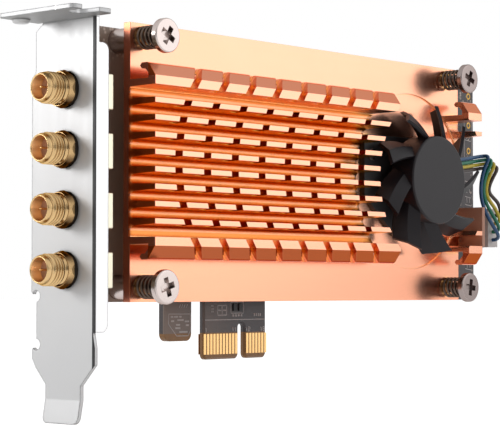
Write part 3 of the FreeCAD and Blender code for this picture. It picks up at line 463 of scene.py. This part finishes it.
# Painted shade on the end face toward the bracket.
copper.tint(copper.within("X", SINK_LEFT - 0.1, SINK_LEFT + 0.1), colour(196, 98, 52))
copper.drive("Specular Tint", copper.shade)
copper.drive("Coat Weight", copper.opposite(copper.larger(deep, lip_slope)))
dress(copper, "heat_sink")

# %% [markdown]
# ## The bracket: plated sheet
# The bracket is steel sheet, cut, folded and plated. Brushing has left a grain that runs up the face, and
# the hollows get a painted shade. Where the rounded normal leaves the true one there is a cut edge, which
# gets a greyer line of painted shade, and the top flange's underside, which the lamps don't reach, gets a
# painted shade darker than the face. A picture of the edges could do this too, but the normals find them by
# themselves.

# %% Plated sheet
FLANGE_UNDERSIDE = (67.3, 67.55)
CUT_EDGE_RADIUS = 0.3

# The recess colour given here is the painted shade of the hollows.
plated_sheet = satin_metal("plated sheet", colour(234, 234, 234), colour(227, 227, 228), 0.42,
                           700.0, (1, 1, 0.06), 0.05, 0.5, colour(120, 118, 116), 1.2, 0.3)
plated_sheet.drive("Specular IOR Level", 0.25)
# Painted shade on the top flange's underside.
plated_sheet.tint(plated_sheet.within("Z", *FLANGE_UNDERSIDE), colour(176, 176, 176))
true_normal = plated_sheet.add("NewGeometry").outputs["Normal"]
turning = plated_sheet.agreement(plated_sheet.rounded(CUT_EDGE_RADIUS), true_normal)
# Painted shade: a greyer line along the cut edges.
plated_sheet.tint(plated_sheet.spread(turning, 1.0, 0.0, 0.8, 0.97), colour(150, 150, 151))
print("bracket nodes so far:", len(plated_sheet.tree.nodes))

# %% [markdown]
# ## The bracket: the fold
# Along the fold between the face and the side flange the plating is stretched over a small radius. It
# mirrors the dark side of the room, so a painted reflection draws it as a thin dark line. The side flange
# itself keeps a bright, mirror-like skin.

# %% Bracket fold
FOLD_X, FOLD_Y, FLANGE_FACE_Y = (-0.1, 0.15), (-15.3, -14.3), (-15.4, -15.05)

fold = plated_sheet.times(plated_sheet.within("X", *FOLD_X), plated_sheet.within("Y", *FOLD_Y))
# Painted reflection: a thin dark line along the fold.
plated_sheet.tint(fold, colour(70, 70, 71))
side_flange = plated_sheet.within("Y", *FLANGE_FACE_Y)
plated_sheet.drive("Metallic", plated_sheet.spread(side_flange, 0.3, 1.0))
dress(plated_sheet, "bracket")

# %% [markdown]
# ## Nuts, washers and pins of the jacks
# The nuts are gold plated like the jacks, and their flats that face up or down get a painted shade. The
# direction of the surface finds those flats. Under each nut lies a washer in a dark painted shade, like the
# shadow beside the nut, and the pin in the jack's mouth is plated like the barrel. The hollows of nuts,
# pins and barrels get a painted shade too.

# %% Nuts, washers and pins
# The recess colour is the painted shade of the nuts' hollows.
nut_gold = satin_metal("nut plating", colour(206, 172, 124), colour(190, 156, 108), 0.26,
                       recess=colour(104, 74, 42), reach_mm=0.7)
# Painted shade on the flats that face up or down.
nut_gold.tint(nut_gold.spread(nut_gold.facing("Z"), 0.0, 1.0, 0.3, 0.75), colour(92, 62, 38))
# Painted shade: the washer is made dark like the shadow beside the nut.
washer_painted_shade = satin_metal("dark washer", colour(70, 62, 56), colour(58, 52, 46), 0.4)
# The recess colour is the painted shade of the hollows on pins and barrels.
gold = satin_metal("gold plate", colour(214, 182, 134), colour(202, 167, 116), 0.24, 900.0,
                   recess=colour(112, 80, 42), reach_mm=0.7)
dress(nut_gold, "jack_nuts")
dress(washer_painted_shade, "jack_washers")
dress(gold, "jack_contact_1", "jack_contact_2", "jack_contact_3", "jack_contact_4")


# %% [markdown]
# ## Moulded plastics
# Moulded parts have a fine spark-eroded texture. A small, dense noise as bump, with a matching
# change of roughness, gives that dry look without any picture texture.

# %% Fan plastic
def moulding(name, main, tinge, roughness, grain=2200.0, bump=0.12, edge_mm=0.12):
    finish = Finish(name)
    finish.paint(finish.mix(finish.noise(90.0, 2.0), main, tinge))
    fine = finish.noise(grain, 3.0)
    finish.roughen(fine, roughness * 0.9, roughness * 1.12)
    finish.emboss(fine, bump, 0.03, edge_mm)
    return finish


fan_plastic = moulding("fan moulding", colour(34, 29, 34), colour(27, 23, 27), 0.42, 2600.0, 0.16)
fan_plastic.drive("Specular IOR Level", 0.3)
base_plastic = moulding("base moulding", colour(20, 16, 18), colour(15, 12, 14), 0.55)
dress(fan_plastic, "fan_rotor")
dress(base_plastic, "fan_base")

# %% [markdown]
# ## Plug, end plate and insulators
# The plug and its header are undyed nylon. The end plate stands beside copper-coloured metal and
# takes on its glow, and so do the insulators in their golden mouths, so both are given the warm
# shade that they show instead of waiting for the light to bounce there.

# %% Plug, end plate and insulators
guard_plastic = moulding("end plate", colour(216, 160, 134), colour(200, 146, 122), 0.5)
white_nylon = moulding("white nylon", colour(240, 232, 228), colour(232, 222, 220), 0.45)
insulator = moulding("insulator", colour(222, 178, 150), colour(210, 164, 138), 0.5)
dress(guard_plastic, "end_plate")
dress(white_nylon, "fan_plug", "fan_header")
dress(insulator, "jack_insulator_1", "jack_insulator_2", "jack_insulator_3", "jack_insulator_4")

# %% [markdown]
# ## Parts on the board
# The bridge chip and the inductors are moulded in black epoxy, the capacitors are bare ceramic,
# and soft filled pads lead the heat from the modules into the heat sink.

# %% Parts on the board
chip_epoxy = moulding("chip epoxy", colour(44, 43, 44), colour(36, 35, 36), 0.55)
ceramic = moulding("ceramic", colour(176, 146, 112), colour(160, 130, 98), 0.5)
heat_pad = moulding("heat pad", colour(150, 150, 160), colour(140, 140, 150), 0.8)
dress(chip_epoxy, "bridge_chip", "inductors")
dress(ceramic, "capacitors")
dress(heat_pad, "thermal_pads")

# %% [markdown]
# ## The board: lacquer
# The board is glass fibre under a black lacquer. On its front, near the bracket, the lacquer mirrors the
# pale sheet and the jacks, so it gets a lighter painted reflection there, which fades along the card. All
# of this depends only on the place on the board, so the object's own coordinates can drive it.

# %% Board lacquer
REFLECTION_FULL_BEFORE, REFLECTION_GONE_FROM = 22, 58

board = Finish("black lacquer")
board.paint(board.mix(board.noise(140.0, 4.0), colour(55, 48, 50), colour(69, 60, 62)))
front_face = board.within("Y", -0.3, 0.4)
painted_reflection_fade = board.opposite(board.rising("X", REFLECTION_FULL_BEFORE, REFLECTION_GONE_FROM))
# Painted reflection: lighter lacquer near the bracket, fading along the card.
board.tint(board.times(painted_reflection_fade, front_face), colour(160, 138, 124))
board.roughen(board.noise(500.0), 0.32, 0.46)
print("board nodes so far:", len(board.tree.nodes))

# %% [markdown]
# ## The board: small plated holes
# Hundreds of tiny plated holes join the copper layers. They show as a light speckle in rows at
# the top edge and in loose groups near the right end. Drilling them would need a huge mesh; the
# cells of a Voronoi pattern, each with a dot at its centre, do the same.

# %% Plated holes
SPECKLE_FROM, SPECKLE_FULL = 61.5, 64.5
RIGHT_STRIP = (127.0, 147.0)

cells = board.add("TexVoronoi", Vector=board.place(), Scale=950.0)
speckle = board.spread(cells.outputs["Distance"], 1.0, 0.0, 0.2, 0.42)
top_edge = board.rising("Z", SPECKLE_FROM, SPECKLE_FULL)
groups = board.spread(board.noise(420.0, 2.0), 0.0, 0.7, 0.55, 0.63)
right_end = board.times(board.within("X", *RIGHT_STRIP), groups)
board.tint(board.times(speckle, board.larger(top_edge, right_end)), colour(222, 204, 190))
print("speckle starts at %.1f mm" % SPECKLE_FROM)

# %% [markdown]
# ## The board: bare fibre and tracks
# Around the edge contacts the lacquer is left out, because a slot would scrape it off, and the
# golden-brown fibre shows in a band. Copper tracks below the lacquer show as faint raised lines;
# the joints of a brick pattern are a simple stand-in for their runs and corners.

# %% Bare fibre and tracks
BARE_BAND_MM = 5.75

fibre = board.mix(board.noise(900.0, 3.0, (1, 1, 0.3)), colour(158, 110, 52), colour(126, 84, 36))
board.tint(board.calculate("LESS_THAN", board.coordinate("Z"), BARE_BAND_MM * MM), fibre)
upright = board.place(turn=(math.radians(90), 0, 0))
tracks = board.add("TexBrick", {"offset": 0.37, "squash": 1.6}, Vector=upright, Scale=260.0)
board.emboss(tracks.outputs["Fac"], 0.25, 0.04, 0.1)
dress(board, "main_pcb")


# %% [markdown]
# ## A helper for new meshes
# The fine forms are built point by point in millimetres. A "form" gathers rings of points and
# joins neighbouring rings with faces, which is enough for threads, collars and tubes; boxes with
# bevelled edges do for the rest. At the end it becomes one piece that rides on the card and, where
# it is the finer version of a solid, stands for that solid.

# %% Form helper
class Form:
    """Points and faces in millimetres, gathered for one piece."""

    def __init__(self):
        self.mesh = bmesh.new()

    def skin(self, rings, slot=0):
        """Joins rings of points, each closed in itself, into a smooth surface."""
        rows = [[self.mesh.verts.new(point) for point in ring] for ring in rings]
        for near, far in zip(rows, rows[1:]):
            for index in range(len(near)):
                following = (index + 1) % len(near)
                face = self.mesh.faces.new((near[index], near[following], far[following], far[index]))
                face.material_index = slot
                face.smooth = True
        return rows

    def close(self, ring, slot=0):
        self.mesh.faces.new(ring).material_index = slot

    def block(self, low, high, bevel, slot=0):
        """A box between two corners, with its edges bevelled."""
        size = [high[axis] - low[axis] for axis in range(3)]
        middle = Vector(low) + Vector(size) / 2
        made = bmesh.ops.create_cube(self.mesh, size=1.0,
                                     matrix=Matrix.Translation(middle) @ Matrix.Diagonal((*size, 1)))
        edges = list({edge for vert in made["verts"] for edge in vert.link_edges})
        done = bmesh.ops.bevel(self.mesh, geom=edges, offset=bevel, segments=3, profile=0.5,
                               affect="EDGES")
        corners = {vert for face in done["faces"] for vert in face.verts}
        for face in {face for vert in corners for face in vert.link_faces}:
            face.material_index = slot

    def piece(self, name, finishes, slot, *replaced):
        """Turns the form into an object on the card."""
        bmesh.ops.recalc_face_normals(self.mesh, faces=self.mesh.faces)
        bmesh.ops.scale(self.mesh, vec=(MM, MM, MM), verts=self.mesh.verts)
        data = bpy.data.meshes.new(name)
        self.mesh.to_mesh(data)
        self.mesh.free()
        for finish in finishes:
            data.materials.append(finish.material)
        item = bpy.data.objects.new(name, data)
        bpy.context.scene.collection.objects.link(item)
        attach(item, CARD)
        if replaced:
            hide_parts(*replaced)
        print(name, "faces:", len(data.polygons))


# %% [markdown]
# ## Antenna jacks: the thread
# Each jack is turned from brass and gold plated. Its barrel carries a fine thread, which is one
# continuous helix. A grid of points, ring by ring, with a radius that depends on how far the
# helix has turned there, makes it exactly; flat rings stacked in a row would not be a thread.

# %% Thread of a jack
JACK_OUT = 6.8
CREST, ROOT, THREAD_PITCH = 3.15, 2.78, 0.7056
CREST_SHARE, FLANK_SHARE = 0.18, 0.64
THREAD_START, THREAD_END, RUN_SLOPE = -2.9, -5.8, 1.6
GROOVE_RADIUS = 2.66
SEGMENTS = 48


def ring_at(x, height, radius_at):
    """A ring of points around a jack's axis at one place along it."""
    points = []
    for index in range(SEGMENTS):
        angle = math.tau * index / SEGMENTS
        radius = radius_at(x, angle)
        points.append((x, -JACK_OUT + radius * math.cos(angle), height + radius * math.sin(angle)))
    return points


def thread_radius(x, angle):
    """Flat crests and roots with sloping flanks, fading out at both ends of the thread."""
    phase = (x / THREAD_PITCH + angle / math.tau) % 1.0
    flank = min(1.0, max(0.0, (abs(phase - 0.5) * 2 - CREST_SHARE) / FLANK_SHARE))
    radius = ROOT + (CREST - ROOT) * flank
    lead_in = GROOVE_RADIUS + RUN_SLOPE * (x - THREAD_END)
    run_out = GROOVE_RADIUS + RUN_SLOPE * (THREAD_START - x)
    return min(radius, lead_in, run_out)


print("turns of thread: %.1f" % ((THREAD_START - THREAD_END) / THREAD_PITCH))

# %% [markdown]
# ## Antenna jacks: barrel and mouth
# From the bracket outward the lathe leaves a plain shoulder, a groove, the thread, another groove and a
# collar with a rounded rim; then the profile turns into the hollow mouth. Each place along the axis with
# its radius is one ring, so the whole barrel is a single skin. The mouth's lining gets a painted shade, a
# duller gold with darker hollows, because little light gets in.

# %% Barrel and mouth
SHEET = 0.86
SHOULDER = ((SHEET, CREST), (-2.1, CREST), (-2.2, GROOVE_RADIUS))
COLLAR = ((-6.0, GROOVE_RADIUS), (-6.06, 2.88), (-6.26, 2.9), (-6.88, 2.64), (-7.0, 2.54), (-7.0, 2.44))
MOUTH = ((-6.86, 2.3), (-0.8, 2.3))
THREAD_STEPS = 48
BARREL_SLOT, BLOCK_SLOT, LINING_SLOT = 0, 1, 2


def barrel(jack, height):
    """The threaded barrel with its collar and hollow mouth."""
    rings = [ring_at(x, height, lambda *_: radius) for x, radius in SHOULDER]
    for step in range(THREAD_STEPS + 1):
        x = THREAD_START + (THREAD_END - THREAD_START) * step / THREAD_STEPS
        rings.append(ring_at(x, height, thread_radius))
    rings += [ring_at(x, height, lambda *_: radius) for x, radius in COLLAR + MOUTH]
    rows = jack.skin(rings, BARREL_SLOT)
    jack.close(rows[0], BARREL_SLOT)
    jack.close(rows[-1], BARREL_SLOT)
    for face in {face for vert in rows[-1] for face in vert.link_faces}:
        face.material_index = LINING_SLOT


print("barrel reaches %.1f mm out of the bracket" % -COLLAR[-1][0])

# %% [markdown]
# ## Antenna jacks: rear block and legs
# Behind the bracket each jack has a square milled block, and four round legs that are soldered
# into the board. A bevelled box and four short turned pins are enough.

# %% Rear block and legs
BLOCK_HALF, BLOCK_END, BLOCK_BEVEL = 3.5, 9.46, 0.25
LEG_RADIUS, LEG_ROOT, LEG_TIP, LEG_OUT = 0.5, -3.4, 2.57, 2.5
LEG_PLACES = (SHEET + 2.5, BLOCK_END - 1.0)
LEG_PROFILE = ((LEG_ROOT, LEG_RADIUS), (LEG_TIP - 0.3, LEG_RADIUS), (LEG_TIP, 0.3))
LEG_SEGMENTS = 16


def turned_pin(form, x, z, profile, slot):
    """A round pin square to the board; the profile lists its depths and radii."""
    turns = [math.tau * index / LEG_SEGMENTS for index in range(LEG_SEGMENTS)]
    rows = form.skin([[(x + radius * math.cos(angle), depth, z + radius * math.sin(angle))
                       for angle in turns] for depth, radius in profile], slot)
    form.close(rows[0], slot)
    form.close(rows[-1], slot)


def rear_block(jack, height):
    """The square block behind the bracket with its four legs."""
    low = (SHEET, -JACK_OUT - BLOCK_HALF, height - BLOCK_HALF)
    high = (BLOCK_END, -JACK_OUT + BLOCK_HALF, height + BLOCK_HALF)
    jack.block(low, high, BLOCK_BEVEL, BLOCK_SLOT)
    for leg_x in LEG_PLACES:
        for side in (-LEG_OUT, LEG_OUT):
            turned_pin(jack, leg_x, height + side, LEG_PROFILE, BLOCK_SLOT)


print("block is %.1f mm long" % (BLOCK_END - SHEET))

# %% [markdown]
# ## Antenna jacks: four of them
# The four jacks are alike and stand in a row, so a loop makes them from the first height and the pitch. The
# block's plating faces the lamp, so it gets a painted light: a bright, creamy gold.

# %% Four jacks
JACK_FIRST, JACK_PITCH, JACK_COUNT = 18.84, 11.69, 4

# Painted light on the rear blocks: a lit, creamy copy of the gold.
gold_painted_light = satin_metal("bright gold plate", colour(255, 252, 232), colour(255, 248, 222), 0.45,
                         metal=0.7)
# Painted shade inside the mouth: a duller gold, darker in its hollows.
jack_lining = satin_metal("mouth lining", colour(222, 178, 132), colour(204, 158, 112), 0.3,
                          recess=colour(150, 100, 58), reach_mm=1.2)
for number in range(JACK_COUNT):
    jack = Form()
    barrel(jack, JACK_FIRST + JACK_PITCH * number)
    rear_block(jack, JACK_FIRST + JACK_PITCH * number)
    jack.piece("jack_%d" % (number + 1), [gold, gold_painted_light, jack_lining], "jack_gold",
               "jack_body_%d" % (number + 1))

# %% [markdown]
# ## Printed marks: ink and strokes
# A board carries a white print: outlines of where parts go, a line above the contacts, and the
# numbers of the first and last contacts. The ink stands a few hundredths of a millimetre proud,
# so each mark is a thin raised stroke. Strokes are given as places on the board, in millimetres.

# %% Ink and strokes
INK_PROUD = 0.03
INK_DEPTHS = (0.01, -INK_PROUD)

ink = Finish("white ink")
ink.paint(ink.mix(ink.noise(1500.0), colour(222, 216, 214), colour(178, 170, 168)))
ink.roughen(ink.noise(2600.0), 0.5, 0.7)


def stroke(form, points, width):
    """A raised line through places (x, z) on the board's component face."""
    for (x, z), (end_x, end_z) in zip(points, points[1:]):
        run = Vector((end_x - x, 0, end_z - z))
        side = Vector((-run.z, 0, run.x)).normalized() * width / 2
        spots = [Vector((x, 0, z)) + side, Vector((end_x, 0, end_z)) + side,
                 Vector((end_x, 0, end_z)) - side, Vector((x, 0, z)) - side]
        rows = form.skin([[spot + Vector((0, depth, 0)) for spot in spots] for depth in INK_DEPTHS])
        for row in rows:
            form.close(row)
        for face in {face for row in rows for vert in row for face in vert.link_faces}:
            face.smooth = False


print_marks = Form()
print("ink stands %.2f mm proud" % INK_PROUD)

# %% [markdown]
# ## Printed marks: the left tab
# The small tab at the left has an outline with a cut corner, with short bars in it and four
# slanted ticks above. Each bar is one stroke, so its place and length are all that is needed.

# %% Marks on the left tab
TAB_OUTLINE = [(35.7, 9.9), (42.4, 9.85), (42.4, 6.5), (41.6, 5.25), (38.1, 5.25), (35.6, 7.8), (35.7, 9.9)]
TAB_BARS = ((38.3, 40.2, 8.6), (40.6, 41.9, 8.3), (36.4, 37.3, 8.4), (37.9, 39.1, 7.6),
            (38.3, 39.2, 6.9), (38.9, 41.4, 6.1), (40.9, 41.8, 7.5), (37.7, 38.3, 6.9))

stroke(print_marks, TAB_OUTLINE, 0.16)
for start, end in ((36.3, 37.0), (37.3, 38.5), (38.9, 39.6)):
    stroke(print_marks, [(start, 9.3), (end, 9.3)], 0.34)
for start, end, level in TAB_BARS:
    stroke(print_marks, [(start, level), (end, level)], 0.36)
for x in (38.9, 39.6, 40.3, 41.0):
    stroke(print_marks, [(x, 11.2), (x + 0.35, 11.9)], 0.16)
print("bars on the tab:", len(TAB_BARS) + 3)

# %% [markdown]
# ## Printed marks: above the edge contacts
# A line runs above the contacts. Over it are the outlines of two places for small parts, one of
# them divided in four, with a few ticks beside them. A rectangle is used twice, so it is a helper.

# %% Marks above the contacts
def outline(form, low, high, width):
    """The four sides of a rectangle between two corners."""
    (low_x, low_z), (high_x, high_z) = low, high
    stroke(form, [low, (high_x, low_z), high, (low_x, high_z), low], width)


stroke(print_marks, [(46.9, 8.5), (66.2, 8.5)], 0.2)
outline(print_marks, (50.8, 9.5), (53.7, 11.6), 0.22)
stroke(print_marks, [(50.8, 10.55), (53.7, 10.55)], 0.22)
stroke(print_marks, [(52.25, 9.5), (52.25, 11.6)], 0.22)
outline(print_marks, (55.1, 9.9), (59.2, 12.3), 0.16)
for x in (49.0, 49.4):
    for level in (10.1, 10.7, 11.3):
        stroke(print_marks, [(x, level), (x, level + 0.35)], 0.22)
for x in (55.6, 56.5, 57.4, 58.3):
    stroke(print_marks, [(x, 9.4), (x + 0.5, 9.4)], 0.45)
for x in (62.6, 63.3, 64.0, 64.6):
    stroke(print_marks, [(x, 9.5), (x + 0.35, 9.5)], 0.6)
print("strokes so far:", len(print_marks.mesh.faces) // 6)

# %% [markdown]
# ## Printed marks: contact numbers
# The first and last contacts of both groups are numbered, which is the same on every such board.
# A figure is a few straight strokes in a box one unit high, so it can be drawn at any size.

# %% Contact numbers
FIGURE_SIZE, FIGURE_LEVEL, FIGURE_WIDTH = 0.85, 5.95, 0.2
DIGITS = {
    "1": [[(0.1, 0.8), (0.35, 1), (0.35, 0)]],
    "2": [[(0, 1), (0.7, 1), (0.7, 0.5), (0, 0.5), (0, 0), (0.7, 0)]],
    "8": [[(0, 0), (0.7, 0), (0.7, 1), (0, 1), (0, 0)], [(0, 0.5), (0.7, 0.5)]],
}

for text, left in (("1", 46.9), ("11", 55.5), ("12", 59.9), ("18", 64.8)):
    for index, letter in enumerate(text):
        x = left + index * FIGURE_SIZE
        for line in DIGITS[letter]:
            points = [(x + side * FIGURE_SIZE, FIGURE_LEVEL + rise * FIGURE_SIZE) for side, rise in line]
            stroke(print_marks, points, FIGURE_WIDTH)
print("strokes so far:", len(print_marks.mesh.faces) // 6)

# %% [markdown]
# ## Printed marks: the right edge
# Beside the right edge two upright lines frame a column of holes, with short bars and pairs of
# ticks between them. After this last group the strokes become one piece.

# %% Marks at the right edge
BAR_LEVELS = (66.6, 62.4, 60.9, 58.8, 54.8, 53.0, 48.2, 47.0, 42.5, 41.2, 38.6, 36.6, 35.2, 22.0, 20.3)
TICK_LEVELS = (59.6, 54.0, 47.6, 40.2, 37.7, 21.2)

for x in (143.05, 146.3):
    stroke(print_marks, [(x, 46.6), (x, 60.5)], 0.18)
for level in BAR_LEVELS:
    stroke(print_marks, [(143.3, level), (145.9, level - 0.35)], 0.2)
for level in TICK_LEVELS:
    stroke(print_marks, [(144.1, level - 0.7), (144.1, level + 0.7)], 0.22)
    stroke(print_marks, [(145.3, level - 0.6), (145.3, level + 0.5)], 0.22)
print_marks.piece("printed_marks", [ink], "board_black")

# %% [markdown]
# ## Plated rings
# Three holes near the right edge are plated through, and a gold ring shows around each. A ring is
# a skin of four circles, inner and outer, low and high, closed in itself.

# %% Plated rings
HOLE_X, HOLE_LEVELS = 144.95, (64.1, 56.7, 50.2)
RING_INNER, RING_OUTER, RING_FACE, RING_BACK = 0.45, 0.85, -0.035, 0.01
RING_SEGMENTS = 28

ring_gold = satin_metal("via gold", colour(206, 170, 104), colour(190, 150, 88), 0.35, edge_mm=0.0)
ring_profile = ((RING_INNER, RING_BACK), (RING_INNER, RING_FACE),
                (RING_OUTER, RING_FACE), (RING_OUTER, RING_BACK))
turns = [math.tau * index / RING_SEGMENTS for index in range(RING_SEGMENTS)]
plated_rings = Form()
for level in HOLE_LEVELS:
    rows = [[(HOLE_X + radius * math.cos(angle), depth, level + radius * math.sin(angle))
             for angle in turns] for radius, depth in ring_profile]
    plated_rings.skin(rows + rows[:1])
plated_rings.piece("plated_rings", [ring_gold], "contact_gold")

# %% [markdown]
# ## Two small resistors
# Above the contacts, inside the larger printed outline, sit two chip resistors about a
# millimetre wide. At this size a black block with softened edges is all that can be seen.

# %% Small resistors
RESISTOR_WIDTH, RESISTOR_PROUD, RESISTOR_SUNK = 1.1, 0.35, 0.01
RESISTOR_LOW, RESISTOR_HIGH, RESISTOR_BEVEL = 10.4, 12.0, 0.06

resistors = Form()
for x in (55.7, 57.5):
    low = (x, -RESISTOR_PROUD, RESISTOR_LOW)
    high = (x + RESISTOR_WIDTH, RESISTOR_SUNK, RESISTOR_HIGH)
    resistors.block(low, high, RESISTOR_BEVEL)
resistors.piece("small_resistors", [chip_epoxy], "chip_black")

# %% [markdown]
# ## Leads: their route
# The four leads are soft tubes that lie side by side as a ribbon. It leaves the fan, is folded over once
# near the board's end and hangs down to the plug. The same places as in the construction model guide one
# smooth curve for each lead, because a real lead has no corners.

# %% Route of a lead
ACROSS = Vector((0.665, -0.747, 0))
BEHIND = Vector((0.747, 0.665, 0))
OUTWARD = Vector((0, -1, 0))
UP = Vector((0, 0, 1))
FAN_CENTRE = Vector((110.5, 0, 40.72))
LEAD_START = FAN_CENTRE + Vector((9.1, -8.46, 4.88))
LEAD_MIDDLE = FAN_CENTRE + Vector((15.1, -8.5, 5.58))
LEAD_LEAVES = FAN_CENTRE + Vector((21.0, -8.8, 6.38))
FOLD = FAN_CENTRE + Vector((26.5, -9.3, 7.28))
FOLD_DEPTH = 2.7
FOLD_STEP = Vector((1.3, 0, -0.85))
LEAD_PITCH, PLUG_PITCH = 0.98, 2.0
PLUG_ENTRY, ENTRY_RUN = Vector((144.4, -7.6, 27.45)), 2.7
RIBBON_STEP = ACROSS * 0.76 + BEHIND * 0.6
# across, down and behind from the fold, and how much each next lead is raised
HANGING = [(-1.6, 3.7, 0.5, -0.75), (-2.2, 7.2, 1.1, -0.2), (-2.0, 10.4, 1.9, 0.5),
           (-1.1, 13.2, 2.7, 1.1), (0.6, 16.4, 3.5, 1.65)]


def lead_places(number):
    """The control points of one lead, numbered from the outermost at the fold."""
    step = LEAD_PITCH * number
    places = [place - UP * step for place in (LEAD_START, LEAD_MIDDLE, LEAD_LEAVES)]
    corner = FOLD + FOLD_STEP * step
    places += [corner, corner + OUTWARD * FOLD_DEPTH]
    top = FOLD + OUTWARD * FOLD_DEPTH + RIBBON_STEP * step
    for across, down, behind, rise in HANGING:
        places.append(top + ACROSS * across + BEHIND * behind - UP * (down - rise * step))
    entry = PLUG_ENTRY + UP * PLUG_PITCH * number
    return places + [entry + OUTWARD * ENTRY_RUN, entry]


print("control points of a lead:", len(lead_places(0)))

# %% [markdown]
# ## Leads: four insulated wires
# The insulation is soft and slightly glossy, with faint streaks from the die it was drawn
# through. A round bevel on each curve gives the tube, and its length can be measured.

# %% Four leads
LEAD_RADIUS = 0.46
LEAD_COLOURS = {"blue": (18, 88, 142), "green": (16, 142, 108), "yellow": (250, 222, 72),
                "brown": (58, 38, 32)}


def insulation(name, main):
    finish = Finish(name)
    streak = finish.noise(700.0, 2.0)
    finish.paint(finish.mix(streak, main, (main[0] * 0.75, main[1] * 0.75, main[2] * 0.75, 1)))
    finish.roughen(streak, 0.24, 0.38)
    finish.emboss(finish.noise(1600.0), 0.06, 0.03)
    return finish


for number, (name, shade) in enumerate(LEAD_COLOURS.items()):
    places = lead_places(number)
    curve = bpy.data.curves.new("lead_" + name, "CURVE")
    curve.dimensions = "3D"
    curve.bevel_depth = LEAD_RADIUS * MM
    curve.bevel_resolution = 5
    curve.resolution_u = 10
    curve.use_fill_caps = True
    spline = curve.splines.new("NURBS")
    spline.points.add(len(places) - 1)
    for point, place in zip(spline.points, places):
        point.co = (*(place * MM), 1)
    spline.order_u = 3
    spline.use_endpoint_u = True
    curve.materials.append(insulation(name + " insulation", colour(*shade)).material)
    lead = bpy.data.objects.new("lead_" + name, curve)
    bpy.context.scene.collection.objects.link(lead)
    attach(lead, CARD)
    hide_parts("fan_wire_%d" % (number + 1))
    print("lead", name, "length %.1f mm" % (spline.calc_length() / MM))

# %% [markdown]
# ## The white room
# A card like this is shown on white. The camera sees plain white, and so do mirror-like faces that
# look past the card. Only the side where the photographer stands is darker, which draws the thin
# dark lines along folds and rims that face the lens. A sky whose brightness depends on direction
# does this with a few nodes: how far it agrees with the lens direction, and the height.

# %% World
LENS_SIDE = (-0.747, -0.665, -0.04)
SKY_DIFFUSE = 0.28

world = bpy.data.worlds.new("white room")
bpy.context.scene.world = world
world.use_nodes = True
sky = Network(world.node_tree)

direction = sky.add("TexCoord").outputs["Generated"]
toward_lens = sky.agreement(direction, LENS_SIDE)
dark_side = sky.spread(toward_lens, 1.0, 0.1, 0.72, 0.99, "SMOOTHSTEP")
by_height = sky.spread(sky.add("SeparateXYZ", Vector=direction).outputs["Z"], 0.68, 1.0, -0.15, 0.3)
paths = sky.add("LightPath").outputs
mirror_ray = sky.larger(paths["Is Glossy Ray"], paths["Is Transmission Ray"])
not_camera = sky.mix(mirror_ray, SKY_DIFFUSE, sky.times(dark_side, by_height), "FLOAT")
strength = sky.mix(paths["Is Camera Ray"], not_camera, 1.0, "FLOAT")
background = world.node_tree.nodes["Background"]
sky.give(strength, background.inputs["Strength"])
sky.give((1, 1, 1, 1), background.inputs["Color"])
print("diffuse light from the room: %.2f" % SKY_DIFFUSE)

# %% [markdown]
# ## Lamps
# Two large soft lamps model the form: one at the front right, which the heat sink's plate
# mirrors as a gentle gradient, and one at the left, which lights the bracket and lets each jack
# cast its soft shadow. A round area lamp has no corners that a rounded metal would show.

# %% Lamps
CARD_MIDDLE = Vector((65, -4, 40)) * MM


def soft_lamp(name, toward, distance_mm, size_mm, watts):
    data = bpy.data.lights.new(name, "AREA")
    data.shape = "DISK"
    data.size = size_mm * MM
    data.energy = watts
    lamp = bpy.data.objects.new(name, data)
    lamp.location = CARD_MIDDLE + Vector(toward).normalized() * distance_mm * MM
    lamp.rotation_euler = (lamp.location - CARD_MIDDLE).to_track_quat("Z", "Y").to_euler()
    bpy.context.scene.collection.objects.link(lamp)
    print(name, "%.2f W" % watts)


soft_lamp("key lamp", (0.62, -0.70, 0.32), 500, 420, 0.42)
soft_lamp("side lamp", (-0.84, 0.50, 0.2), 290, 80, 0.17)

# %% [markdown]
# ## The floor
# The floor is pale and matt. It adds a share of plain white for what the camera and mirrors see,
# so its far edge melts into the background while the card's shadow stays.

# %% Floor
FLOOR_HALF, FLOOR_GAP = 3.0, 0.0004
FLOOR_CORNERS = ((-1, -1), (1, -1), (1, 1), (-1, 1))

floor_level = cad_box[0][2] - FLOOR_GAP
floor_mesh = bpy.data.meshes.new("floor")
spots = [(x * FLOOR_HALF, y * FLOOR_HALF, floor_level) for x, y in FLOOR_CORNERS]
floor_mesh.from_pydata(spots, [], [(0, 1, 2, 3)])
floor = bpy.data.objects.new("floor", floor_mesh)
bpy.context.scene.collection.objects.link(floor)

white_floor = Finish("white floor", Roughness=0.95, Emission_Color=(1, 1, 1, 1))
patches = white_floor.noise(30.0)
white_floor.paint(white_floor.mix(patches, colour(238, 238, 238), colour(232, 232, 232)))
rays = white_floor.add("LightPath").outputs
shown = white_floor.larger(rays["Is Camera Ray"], rays["Is Glossy Ray"])
white_floor.drive("Emission Strength", white_floor.spread(shown, 0.0, 0.85))
floor_mesh.materials.append(white_floor.material)
print("floor at %.2f mm" % (floor_level / MM))

# %% [markdown]
# ## Last settings
# The Standard view keeps each colour as written.

# %% Finish
bpy.context.scene.view_settings.view_transform = "Standard"
